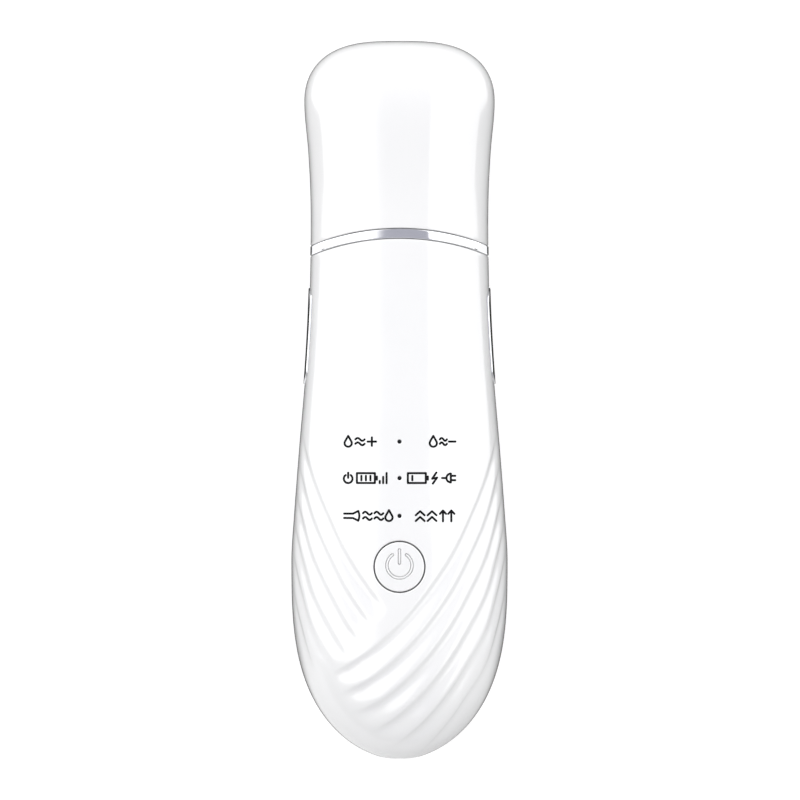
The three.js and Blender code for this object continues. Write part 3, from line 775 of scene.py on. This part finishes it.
def spatula_blade():
    """A bent sheet: its long edges are rounded over, and it thins towards its tip."""
    solid = Solid()
    stations = np.concatenate([[2.0, 2.0, 2.15], np.linspace(3, 48, 50), np.linspace(48.5, 74.5, 60),
                               [74.9, 75.3, 75.6, 75.8, 75.93, 76.0, 76.0]])
    thickness = np.ones(len(stations))
    thickness[:3] = (0.02, 0.7, 1.0)
    thickness[-7:] = (0.86, 0.74, 0.62, 0.54, 0.46, 0.36, 0.02)
    side_radius = 0.4
    top = np.sin(np.linspace(-1, 1, 61) * math.pi / 2)
    past_flat = np.clip((np.abs(top) * BLADE_TIP - BLADE_TIP + side_radius) / side_radius, 0, 1)
    rounding = np.sqrt(np.clip(1 - past_flat ** 2, 0, 1))
    across = np.concatenate([top, top[-2:0:-1]])
    level = np.concatenate([rounding, -rounding[-2:0:-1]])
    rings = []
    for station, share in zip(stations, thickness):
        x = blade_half_width(np.array(station)) * across
        pull = smoothstep((station - 52) / 24)
        y = station + pull * (blade_end(BLADE_TIP * across) - BLADE["tip"])
        z, angle = blade_centre(y)
        lift = level * share * BLADE["thickness"] / 2
        rings.append(np.stack([x, y - lift * np.sin(angle), z + lift * np.cos(angle)], -1))
    ids = solid.loft(rings)
    half = len(top) - 1
    for end in (ids[0], ids[-1]):
        upper, lower = end[:half + 1], np.concatenate([end[:1], end[:half - 1:-1]])
        solid.quads(np.array([upper, lower]))
    return solid


# ---------- turned pieces: button and light pins ----------

def turned_rings(profile, centre, count):
    """Level rings of (radius, height) pairs round an upright axis."""
    rings = []
    for radius, height in profile:
        x, y = circle(centre, radius, count)
        rings.append(np.stack([x, y, np.full(count, height)], -1))
    return rings


SYMBOL = {"centre": -37.78, "radius": 2.87, "half_stroke": 0.29, "gap": math.radians(34),
          "tick_high": -34.3, "tick_low": -37.25, "moat": 0.5, "moat_reach": 0.09, "sunk": 0.04}


def symbol_sink(x, y):
    """Depth round the inlaid power symbol: a narrow moat follows an open ring and the tick in its gap."""
    dx, dy = x, y - SYMBOL["centre"]
    angle = np.arctan2(dx, dy)
    end_x, end_y = SYMBOL["radius"] * math.sin(SYMBOL["gap"]), SYMBOL["radius"] * math.cos(SYMBOL["gap"])
    to_arc = np.abs(np.hypot(dx, dy) - SYMBOL["radius"])
    to_end = np.hypot(np.abs(dx) - end_x, dy - end_y)
    ring = np.where(np.abs(angle) > SYMBOL["gap"], to_arc, to_end)
    tick_y = np.clip(y, SYMBOL["tick_low"], SYMBOL["tick_high"])
    tick = np.hypot(x, y - tick_y)
    distance = np.minimum(ring, tick)
    from_edge = (distance - SYMBOL["half_stroke"]) / SYMBOL["moat_reach"]
    return SYMBOL["moat"] * np.exp(-from_edge ** 2) + SYMBOL["sunk"] * (1 - smoothstep(from_edge))


def power_button():
    """A cap that continues the skin and carries the symbol, over a flange and a short stem."""
    solid = Solid()
    centre, count = (0, BUTTON["y"]), 360
    radius, flange, stem = BUTTON["radius"], BUTTON["flange"], BUTTON["stem"]
    low, high, stem_low = BUTTON["flange_low"], BUTTON["flange_high"], BUTTON["stem_low"]
    rings = []
    fine = [np.arange(0.1, 2.2, 0.07), np.arange(2.2, 3.6, 0.035), np.arange(3.6, 5.35, 0.07)]
    for reach in np.concatenate(fine):
        towards = smoothstep((reach - 3.5) / 1.6)
        middle = SYMBOL["centre"] * (1 - towards) + BUTTON["y"] * towards
        x, y = circle((0, middle), reach, count)
        rings.append(front_point(x, y, symbol_sink(x, y)))
    for step in LIP_STEPS[::-1]:
        x, y = circle(centre, radius - step, count)
        rings.append(front_point(x, y, lip_inset(np.full(count, step))))
    rings += turned_rings([(radius, high + 0.1), (radius + 0.1, high), (flange - 0.1, high),
                           (flange, high - 0.1), (flange, low + 0.1), (flange - 0.1, low), (stem, low),
                           (stem, stem_low + 0.05), (stem - 0.05, stem_low)], centre, count)
    ids = solid.loft(rings)
    x, y = np.array(0.0), np.array(SYMBOL["centre"])
    solid.fan(ids[0], front_point(x, y, symbol_sink(x, y)))
    solid.fan(ids[-1], (*centre, stem_low))
    return solid


def light_pin(centre_y):
    """A clear pin with a low dome in its hole, and a broad foot on its lamp."""
    solid = Solid()
    centre, count = (0.0, centre_y), 48
    foot, low, high = LAMP_FOOT["radius"], LAMP_FOOT["low"], LAMP_FOOT["high"]
    rings = []
    for radius, sink in ((0.14, 0.005), (0.23, 0.02), (0.29, 0.06), (LAMP_RADIUS, 0.12)):
        x, y = circle(centre, radius, count)
        rings.append(np.stack([x, y, front_height(x, y) - sink], -1))
    rings += turned_rings([(LAMP_RADIUS, high + 0.1), (LAMP_RADIUS + 0.1, high), (foot - 0.1, high),
                           (foot, high - 0.1), (foot, low + 0.1), (foot - 0.1, low)], centre, count)
    ids = solid.loft(rings)
    solid.fan(ids[0], (*centre, float(front_height(np.array(0.0), np.array(centre_y)))))
    solid.fan(ids[-1], (*centre, low))
    return solid


# ---------- touch electrodes ----------

def skin_side(y, z, side, proud):
    """The flank of the skin at a height, stood proud of it."""
    rise = np.where(z > PARTING_Z, front_rise(y), back_drop(y))
    reach = np.clip(np.abs(z - PARTING_Z) / rise, 0, 1)
    return side * (half_width(y) * (1 - reach ** SECTION_POWER) ** (1 / SECTION_POWER) + proud)


def touch_electrode(side):
    """A pad with rounded ends that follows the flank, and the pin behind it."""
    solid = Solid()
    radius, proud, edge = PAD["height"] / 2, PAD["proud"], 0.3
    straight = PAD["length"] / 2 - radius
    quarter = quarter_rectangle(radius, straight + radius, radius - 1e-3)
    z_out, y_out = closed_outline(quarter, quarter, 40).T
    y_core = np.clip(y_out, -straight, straight)
    layers = [(0.0, -1.5), (0.5, -1.5), (1.0, -1.5), (1.0, proud - edge)]
    layers += [(1 - edge / radius * fall, proud - edge * (1 - rise)) for rise, fall in quarter_turn(0.15, 6)]
    layers += [(share, proud) for share in (0.85, 0.7, 0.5, 0.3, 0.15, 0.0)]
    rings = []
    for share, height in layers:
        y = PAD["y"] + y_core + share * (y_out - y_core)
        z = PARTING_Z + share * z_out
        rings.append(np.stack([skin_side(y, z, side, height), y, z], -1))
    solid.loft(rings)

    pin_end, pin_back, pin_radius = PAD["pin_end"], 19.5, PAD["pin_radius"]
    pin = []
    for reach, radius in ((pin_end, pin_radius - 0.1), (pin_end + 0.1, pin_radius),
                          (pin_back - 0.1, pin_radius), (pin_back, pin_radius - 0.1)):
        y, z = circle((PAD["y"], PARTING_Z), radius, 24)
        pin.append(np.stack([np.full(24, side * reach), y, z], -1))
    ids = solid.loft(pin)
    solid.fan(ids[0], (side * pin_end, PAD["y"], PARTING_Z))
    solid.fan(ids[-1], (side * pin_back, PAD["y"], PARTING_Z))
    return solid


# ---------- charging socket ----------

def port_loft(rings, first, last):
    """Outlines and their stations joined in turn, with an end in the middle of the first and last."""
    solid = Solid()
    ids = solid.loft([at_station(*ring) for ring in rings])
    solid.fan(ids[0], (0, first, PARTING_Z))
    solid.fan(ids[-1], (0, last, PARTING_Z))
    return solid


def charge_port_shell():
    count = 28
    mouth, rear = PORT["mouth"], PORT["mouth"] + PORT["length"]
    wide, tall, wall = PORT["width"], PORT["height"], PORT["wall"]
    outer = rectangle_outline(wide, tall, tall / 2 - 0.01, count)
    inner = rectangle_outline(wide - 2 * wall, tall - 2 * wall, tall / 2 - wall - 0.01, count)
    middle = (outer + inner) / 2
    return port_loft([(inner * 0.7, rear - 1.0), (inner, rear - 1.0), (inner, mouth + 0.12),
                      (inner * 0.6 + middle * 0.4, mouth + 0.03), (middle, mouth),
                      (outer * 0.6 + middle * 0.4, mouth + 0.03), (outer, mouth + 0.12), (outer, rear - 0.1),
                      (outer * 0.96, rear)], rear - 1.0, rear)


def charge_port_tongue():
    low, high = PORT["mouth"] + 1.4, PORT["mouth"] + PORT["length"] - 1.1
    full = rectangle_outline(6.7, TONGUE_THICKNESS, 0.2, 12)
    nose = rectangle_outline(6.4, 0.4, 0.15, 12)
    return port_loft([(nose, low), (nose * 0.3 + full * 0.7, low + 0.05), (full, low + 0.2),
                      (full, high - 0.1), (nose, high)], low, high)


def port_contacts():
    """Gold contact strips on both faces of the socket's tongue."""
    solid = Solid()
    strips, pitch, width, thickness, sunk = 12, 0.5, 0.26, 0.05, 0.01
    strip = rectangle_outline(width, thickness, 0.02, 3)
    for face in (-1, 1):
        height = face * (TONGUE_THICKNESS / 2 + thickness / 2 - sunk)
        for index in range(strips):
            section = strip + [(index - (strips - 1) / 2) * pitch, height]
            solid.bar([at_station(section, PORT["mouth"] + depth) for depth in (1.75, 5.2)])
    return solid


# ---------- printed pictograms ----------

INK = {"stroke": 0.48, "proud": 0.02, "sunk": 0.05, "spacing": 0.12}


def arc(cx, cy, radius, start, end, count=24):
    angle = np.radians(np.linspace(start, end, count))
    return [(cx + radius * math.cos(a), cy + radius * math.sin(a)) for a in angle]


def droplet(cx):
    body = arc(cx, -0.35, 0.82, -215, 35)
    return [body + [(cx, 1.3)], [(cx, 1.3), body[0]]]


def wave(cx, cy, length, height):
    return [(cx + length * (t - 0.5), cy + height * math.sin(2 * math.pi * t)) for t in np.linspace(0, 1, 25)]


def plus(cx):
    return [[(cx - 0.95, 0), (cx + 0.95, 0)], [(cx, -0.95), (cx, 0.95)]]


def minus(cx):
    return [[(cx - 0.75, 0), (cx + 0.75, 0)]]


def frame_strokes(left, right, low, high):
    corners = [(left, low), (right, low), (right, high), (left, high)]
    return [[a, b] for a, b in zip(corners, corners[1:] + corners[:1])]


def battery_strokes(left, bars):
    strokes = frame_strokes(left, left + 4.1, -1.12, 1.12) + [[(left + 4.55, -0.35), (left + 4.55, 0.35)]]
    for index in range(bars):
        x = left + 1.02 + index * 1.03
        strokes.append([(x, -0.5), (x, 0.5)])
    return strokes


def bolt(cx):
    return [[(cx + 0.4, 1.25), (cx - 0.55, -0.15)], [(cx - 0.55, -0.15), (cx + 0.55, 0.1)],
            [(cx + 0.55, 0.1), (cx - 0.4, -1.25)]]


def chevron(cx, low):
    return [[(cx - 1.0, low), (cx, low + 0.9)], [(cx, low + 0.9), (cx + 1.0, low)]]


def arrow_up(cx):
    return [[(cx, -1.25), (cx, 1.2)], [(cx - 0.7, 0.45), (cx, 1.2)], [(cx + 0.7, 0.45), (cx, 1.2)]]


def small_power(cx):
    return [arc(cx, -0.15, 1.0, 125, 415), [(cx, 0.05), (cx, 1.2)]]


def rising_bars(left, count):
    heights = np.linspace(0.5, 2.3, count)
    return [[(left + 0.78 * index, -1.15), (left + 0.78 * index, -1.15 + height)]
            for index, height in enumerate(heights)]


def spatula_strokes(left):
    return [[(left, -0.5), (left + 2.0, -0.5)], [(left, 0.5), (left + 2.0, 0.5)],
            [(left + 2.0, -0.5), (left + 3.2, -1.1)], [(left + 2.0, 0.5), (left + 3.2, 1.1)],
            arc(left + 0.9, 0.0, 2.55, -26, 26)]


def plug_strokes(left):
    return [arc(left + 1.4, 0, 1.0, 90, 270), [(left + 1.4, 1.0), (left + 1.4, -1.0)],
            [(left + 1.4, 0.5), (left + 2.4, 0.5)], [(left + 1.4, -0.5), (left + 2.4, -0.5)],
            [(left - 0.6, 0), (left + 0.35, 0)]]


def double_wave(cx, gap, length, height):
    return [wave(cx, gap, length, height), wave(cx, -gap, length, height)]


def double_chevron(cx):
    return chevron(cx, -1.15) + chevron(cx, 0.15)


# Each mark's lamp row and its strokes, placed from the middle of the row.
PICTOGRAMS = {
    "mark_positive": ("top", droplet(-11.7) + double_wave(-9.0, 0.5, 2.1, 0.32) + plus(-6.3)),
    "mark_negative": ("top", droplet(7.7) + double_wave(10.0, 0.5, 1.6, 0.32) + minus(12.0)),
    "mark_power": ("middle", small_power(-11.7) + battery_strokes(-9.7, 3) + rising_bars(-4.5, 3)),
    "mark_charge": ("middle", battery_strokes(1.9, 1) + bolt(8.0) + plug_strokes(10.3)),
    "mark_peel": ("bottom", spatula_strokes(-12.6) + double_wave(-7.3, -0.6, 2.0, 0.34)
                  + double_wave(-4.7, -0.6, 2.0, 0.34) + droplet(-2.4)),
    "mark_lift": ("bottom", double_chevron(4.7) + double_chevron(7.4) + arrow_up(9.9) + arrow_up(11.8)),
}


def ink_solid(strokes, base_y):
    """Printed strokes with round ends, as a thin layer that follows the skin."""
    solid = Solid()
    half = INK["stroke"] / 2
    beyond = half * np.cos(np.linspace(0, math.pi / 2, 6)[:-1])
    end_width = np.sqrt(np.clip(half ** 2 - beyond ** 2, (0.1 * half) ** 2, None))
    beyond = beyond[:, None]
    for stroke in strokes:
        line = np.array(stroke, float)
        length = distance_along(line)[-1]
        line = respaced(line, np.linspace(0, length, int(length / INK["spacing"]) + 3))
        direction = np.gradient(line, axis=0)
        direction /= np.linalg.norm(direction, axis=1, keepdims=True)
        width = np.concatenate([end_width, np.full(len(line), half), end_width[::-1]])
        line = np.concatenate([line[0] - direction[0] * beyond, line,
                               line[-1] + direction[-1] * beyond[::-1]])
        direction = np.pad(direction, ((len(beyond), len(beyond)), (0, 0)), mode="edge")
        across = np.stack([-direction[:, 1], direction[:, 0]], -1) * width[:, None]
        edges = []
        for side, inset in ((-1, INK["sunk"]), (-1, -INK["proud"]), (1, -INK["proud"]), (1, INK["sunk"])):
            edge = line + side * across
            edges.append(front_point(edge[:, 0], edge[:, 1] + base_y, np.full(len(line), inset)))
        solid.bar(np.array(edges).transpose(1, 0, 2))
    return solid


# ---------- materials ----------

def set_sockets(tree, node, sockets):
    """Fills a node's inputs: an output of another node is linked, and anything else is a value."""
    for name, value in sockets.items():
        if isinstance(value, bpy.types.NodeSocket):
            tree.links.new(value, node.inputs[name])
        else:
            node.inputs[name].default_value = value


def add_node(tree, kind, output, **sockets):
    """Adds a shader node and returns it with one of its outputs. An underscore stands for a space."""
    node = tree.nodes.new("ShaderNode" + kind)
    set_sockets(tree, node, {name.replace("_", " "): value for name, value in sockets.items()})
    return node, node.outputs[output]


def new_material(name):
    look = bpy.data.materials.new(name)
    look.use_nodes = True
    return look, look.node_tree, look.node_tree.nodes["Principled BSDF"]


def finish_material(name, dark, light, rough, patch, grain, bump, sockets, stretch=(1, 1, 1)):
    """A finish with patches of colour, uneven roughness and a fine grain. The scales are per metre."""
    look, tree, shader = new_material(name)
    _, spot = add_node(tree, "TexCoord", "Object")
    _, spot = add_node(tree, "Mapping", "Vector", Vector=spot, Scale=stretch)

    def noise(scale, detail, roughness=0.5):
        settings = {"Scale": scale, "Detail": detail, "Roughness": roughness}
        return add_node(tree, "TexNoise", "Fac", Vector=spot, **settings)[1]

    ramp, colour = add_node(tree, "ValToRGB", "Color", Fac=noise(patch, 3.0))
    for element, position, shade in zip(ramp.color_ramp.elements, (0.35, 0.65), (dark, light)):
        element.position = position
        element.color = (*shade, 1)
    _, wear = add_node(tree, "MapRange", "Result", Value=noise(patch * 2.3, 5.0, 0.6), From_Min=0.3,
                       From_Max=0.7, To_Min=rough[0], To_Max=rough[1])
    _, normal = add_node(tree, "Bump", "Normal", Height=noise(grain, 2.0), Distance=bump, Strength=1.0)
    set_sockets(tree, shader, {"Base Color": colour, "Roughness": wear, "Normal": normal, **sockets})
    return look


GLOSS = {"IOR": 1.62, "Coat Weight": 1.0, "Coat Roughness": 0.03, "Coat IOR": 1.55}
METAL = {"Metallic": 1.0}

# Darker and lighter colour, least and most roughness, scale of the patches and of the grain, height of the
# grain in metres, and other sockets.
FINISHES = {
    "shell_white": ((0.862, 0.864, 0.868), (0.878, 0.879, 0.88), (0.10, 0.16), 45, 700, 3.5e-6, GLOSS),
    "cap_white": ((0.864, 0.865, 0.868), (0.88, 0.88, 0.88), (0.10, 0.16), 40, 700, 3.5e-6, GLOSS),
    "button_white": ((0.862, 0.863, 0.866), (0.878, 0.878, 0.88), (0.10, 0.16), 110, 700, 3.5e-6, GLOSS),
    "ring_chrome": ((0.86, 0.87, 0.89), (0.93, 0.935, 0.95), (0.045, 0.10), 90, 2600, 1e-6, METAL),
    "electrode_chrome": ((0.84, 0.85, 0.87), (0.92, 0.925, 0.94), (0.05, 0.13), 120, 2200, 1.5e-6, METAL),
    "collar_white": ((0.80, 0.80, 0.795), (0.85, 0.85, 0.845), (0.42, 0.56), 120, 2600, 1e-5, {"IOR": 1.5}),
    "gasket_grey": ((0.36, 0.37, 0.385), (0.42, 0.43, 0.445), (0.55, 0.72), 160, 3200, 1.4e-5,
                    {"IOR": 1.43, "Sheen Weight": 0.15}),
    "blade_steel": ((0.60, 0.61, 0.62), (0.76, 0.765, 0.77), (0.20, 0.34), 260, 1500, 4e-6, METAL,
                    (0.06, 4.0, 1.0)),
    "black_plastic": ((0.014, 0.014, 0.016), (0.024, 0.024, 0.027), (0.38, 0.55), 400, 4000, 1e-5, {}),
    "screw_steel": ((0.42, 0.43, 0.45), (0.58, 0.59, 0.6), (0.22, 0.38), 500, 3000, 5e-6, METAL),
    "piezo_ceramic": ((0.60, 0.57, 0.50), (0.70, 0.67, 0.60), (0.35, 0.6), 300, 3500, 1.2e-5, {}),
    "lead_red": ((0.42, 0.02, 0.016), (0.52, 0.03, 0.022), (0.35, 0.5), 300, 2500, 1e-5, {}),
    "lead_black": ((0.012, 0.012, 0.013), (0.022, 0.022, 0.024), (0.35, 0.5), 300, 2500, 1e-5, {}),
    "board_green": ((0.012, 0.10, 0.045), (0.02, 0.15, 0.07), (0.25, 0.4), 500, 2400, 1.2e-5, {}),
    "capacitor_blue": ((0.02, 0.05, 0.13), (0.035, 0.075, 0.18), (0.25, 0.4), 400, 2600, 8e-6, {}),
    "lamp_clear": ((0.008, 0.009, 0.011), (0.014, 0.015, 0.018), (0.2, 0.3), 900, 5000, 2e-6, {"IOR": 1.25}),
    "plunger_white": ((0.7, 0.7, 0.69), (0.76, 0.76, 0.75), (0.4, 0.55), 500, 3000, 8e-6, {}),
    "cell_wrap": ((0.27, 0.30, 0.33), (0.36, 0.39, 0.42), (0.22, 0.38), 180, 900, 4e-5, {"Metallic": 0.3}),
    "pad_foam": ((0.03, 0.03, 0.032), (0.055, 0.055, 0.058), (0.85, 0.98), 900, 1800, 2e-4, {}),
    "contact_gold": ((0.72, 0.52, 0.2), (0.86, 0.64, 0.28), (0.18, 0.3), 700, 3000, 4e-6, METAL),
    "print_black": ((0.004, 0.004, 0.005), (0.008, 0.008, 0.009), (0.5, 0.65), 800, 4000, 6e-6,
                    {"Specular IOR Level": 0.1}),
}
LOOKS = {name: finish_material(name, *finish) for name, finish in FINISHES.items()}

# ---------- the camera ----------

CAMERA_LENS = 250.0
CAMERA_HEIGHT = 1.291
FRAME_OFFSET = (0.000115, -0.00012)

camera_data = bpy.data.cameras.new("camera")
camera_data.lens = CAMERA_LENS
camera_data.sensor_width = 36.0
camera_data.clip_end = 20.0
camera = add_object("camera", camera_data)
camera.location = (*FRAME_OFFSET, CAMERA_HEIGHT)
scene.camera = camera

# ---------- the pieces ----------

lamp_holes = [((0.0, y), LAMP_HOLE, 40) for y in LAMPS.values()]
button_hole = [((0.0, BUTTON["y"]), BUTTON["hole"], 200)]

piece("skin_front", half_shell(True, button_hole + lamp_holes), "shell_white", ["front_shell"], sharp=40)
piece("skin_back", half_shell(False), "shell_white", ["back_shell"], sharp=40)
piece("skin_cap", protective_cap(), "cap_white", ["protective_cap"], body="cap", sharp=40)
chrome_band = piece("chrome_band", trim_ring(), "ring_chrome", ["trim_ring"], sharp=40)
piece("collar", neck_collar(), "collar_white", ["neck_collar"], sharp=40)
piece("gasket", blade_gasket(), "gasket_grey", ["blade_gasket"])
piece("blade", spatula_blade(), "blade_steel", ["spatula_blade"])
piece("button", power_button(), "button_white", ["power_button"], body="button", sharp=60)
for side_name, side_sign in (("left", -1), ("right", 1)):
    piece(f"pad_{side_name}", touch_electrode(side_sign), "electrode_chrome", [f"electrode_{side_name}"])
for lamp_name, lamp_y in LAMPS.items():
    piece(f"pin_{lamp_name}", light_pin(lamp_y), "lamp_clear", [f"light_pin_{lamp_name}"])
piece("socket_shell", charge_port_shell(), "screw_steel", ["charge_port_shell"], sharp=35)
piece("socket_tongue", charge_port_tongue(), "black_plastic", ["charge_port_tongue"], sharp=35)
piece("socket_contacts", port_contacts(), "screw_steel", look="contact_gold", sharp=35)
for mark_name, (lamp_row, mark_strokes) in PICTOGRAMS.items():
    piece(mark_name, ink_solid(mark_strokes, LAMPS[lamp_row]), "black_plastic", look="print_black", sharp=30)

# ---------- the inner nodes keep their CAD shape and take a finish ----------

CARRIED_OVER = {
    "black_plastic": "blade_clamp control_chip driver_chip driver_coil switch_housing",
    "screw_steel": "clamp_screw_left clamp_screw_right board_screw_lower_left board_screw_lower_right "
                   "board_screw_upper_left board_screw_upper_right",
    "piezo_ceramic": "piezo_disc_front piezo_disc_back",
    "lead_red": "piezo_lead_front battery_lead_red charge_lead_red",
    "lead_black": "piezo_lead_back electrode_lead_left electrode_lead_right battery_lead_black "
                  "charge_lead_black",
    "board_green": "main_board charge_board",
    "capacitor_blue": "supply_capacitor",
    "lamp_clear": "lamp_top lamp_middle lamp_bottom",
    "plunger_white": "switch_plunger",
    "cell_wrap": "battery_cell",
    "pad_foam": "battery_pad",
}
for look_name, node_names in CARRIED_OVER.items():
    for node_name in node_names.split():
        for material_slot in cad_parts[node_name].material_slots:
            material_slot.material = LOOKS[look_name]

# ---------- floor and light ----------

def floor():
    work = bmesh.new()
    bmesh.ops.create_grid(work, x_segments=8, y_segments=8, size=6.0)
    mesh = bpy.data.meshes.new("studio_floor")
    work.to_mesh(mesh)
    work.free()
    obj = add_object("studio_floor", mesh)
    look, tree, shader = new_material("studio_floor")
    set_sockets(tree, shader, {"Base Color": (0.35, 0.35, 0.35, 1), "Roughness": 0.9,
                               "Specular IOR Level": 0.0, "Emission Color": (1, 1, 1, 1),
                               "Emission Strength": 0.75})
    mesh.materials.append(look)
    obj.visible_diffuse = False
    obj.visible_glossy = False


# Levels of light by the direction it comes from. A pair is from the left and from the right.
BELOW, BELOW_TAIL, STRAIGHT_BELOW = (0.22, 0.08), (1.0, 0.6), 0.04
SIDES, OVERHEAD, BEYOND_CAP, BEHIND_TAIL = (1.64, 1.52), 1.74, 0.5, 0.5
CARD_COLOUR = (0.45, 0.45, 0.51)
CARD_LEFT = (math.radians(-15.0), math.radians(-4.0))
CARD_RIGHT = (math.radians(14.2), math.radians(13.0))
HORIZON = (0.24, 0.28)

# A Mix node's two colour inputs and its colour output, by number.
MIX_COLOURS = (6, 7)
MIX_RESULT = 2


def studio_light():
    """A bright surround over a dark horizon, dimmer behind the tail, with a narrow dim card overhead."""
    world = bpy.data.worlds.new("studio")
    scene.world = world
    world.use_nodes = True
    tree = world.node_tree
    _, direction = add_node(tree, "TexCoord", "Generated")
    to_x, to_y, to_z = add_node(tree, "SeparateXYZ", "X", Vector=direction)[0].outputs
    ray = add_node(tree, "LightPath", "Ray Depth")[0].outputs

    def calculate(operation, first, second=0.0):
        node = tree.nodes.new("ShaderNodeMath")
        node.operation = operation
        set_sockets(tree, node, {0: first, 1: second})
        return node.outputs[0]

    def soft_step(value, start, end):
        node, result = add_node(tree, "MapRange", "Result", Value=value, From_Min=start, From_Max=end)
        node.interpolation_type = "SMOOTHSTEP"
        return result

    def blend(factor, first, second):
        """Mix of two colours; a plain number stands for a grey."""
        node, _ = add_node(tree, "Mix", "Result", Factor=factor)
        node.data_type = "RGBA"
        values = []
        for value in (first, second):
            value = (value, value, value) if isinstance(value, float) else value
            values.append((*value, 1) if isinstance(value, tuple) else value)
        set_sockets(tree, node, dict(zip(MIX_COLOURS, values)))
        return node.outputs[MIX_RESULT]

    below = blend(soft_step(to_x, -0.6, 0.6), *BELOW)
    below = blend(soft_step(to_z, -0.35, -0.95), below, STRAIGHT_BELOW)
    below_tail = blend(soft_step(to_x, -0.5, 0.5), *BELOW_TAIL)
    below = blend(soft_step(to_y, -0.12, -0.4), below, below_tail)

    sides = blend(soft_step(to_x, -0.5, 0.5), *SIDES)
    off_centre = calculate("ABSOLUTE", to_x)
    above = blend(soft_step(off_centre, 0.6, 0.9), OVERHEAD, sides)
    beyond_cap = calculate("MULTIPLY", soft_step(to_y, 0.45, 0.7), soft_step(to_z, 0.6, 0.4))
    above = blend(calculate("MULTIPLY", beyond_cap, ray["Is Glossy Ray"]), above, BEYOND_CAP)
    tailwards = calculate("ADD", calculate("MULTIPLY", to_y, -0.85), calculate("MULTIPLY", off_centre, 0.4))
    above = blend(soft_step(tailwards, 0.425, 0.53), above, BEHIND_TAIL)
    across = calculate("ARCTAN2", to_x, to_z)
    on_card = calculate("MULTIPLY", soft_step(across, *CARD_LEFT), soft_step(across, *CARD_RIGHT))
    above = blend(on_card, above, CARD_COLOUR)

    headwards = calculate("MINIMUM", calculate("MAXIMUM", to_y, 0.0), 0.1)
    raised = calculate("ADD", to_z, calculate("MULTIPLY", headwards, 5.0))
    light = blend(soft_step(raised, *HORIZON), below, above)
    seen = blend(ray["Is Camera Ray"], light, 1.0)
    set_sockets(tree, tree.nodes["Background"], {"Color": seen, "Strength": 1.0})


def band_lights(band):
    """Upright lamps at both sides, half under the floor, that light the ring alone so that its ends shine."""
    lit = bpy.data.collections.new("lit_by_band_lights")
    lit.objects.link(band)
    for side in (-1, 1):
        lamp = bpy.data.lights.new("band_light", "AREA")
        lamp.shape = "RECTANGLE"
        lamp.size, lamp.size_y = 1.08, 1.0
        lamp.energy = lamp.size * lamp.size_y * math.pi
        obj = add_object("band_light", lamp)
        obj.location = (side * 0.7, RING_TOP * MM, -0.46)
        obj.rotation_euler = (0, side * math.pi / 2, 0)
        obj.visible_camera = False
        obj.light_linking.receiver_collection = lit


floor()
studio_light()
band_lights(chrome_band)
scene.view_settings.view_transform = "Standard"
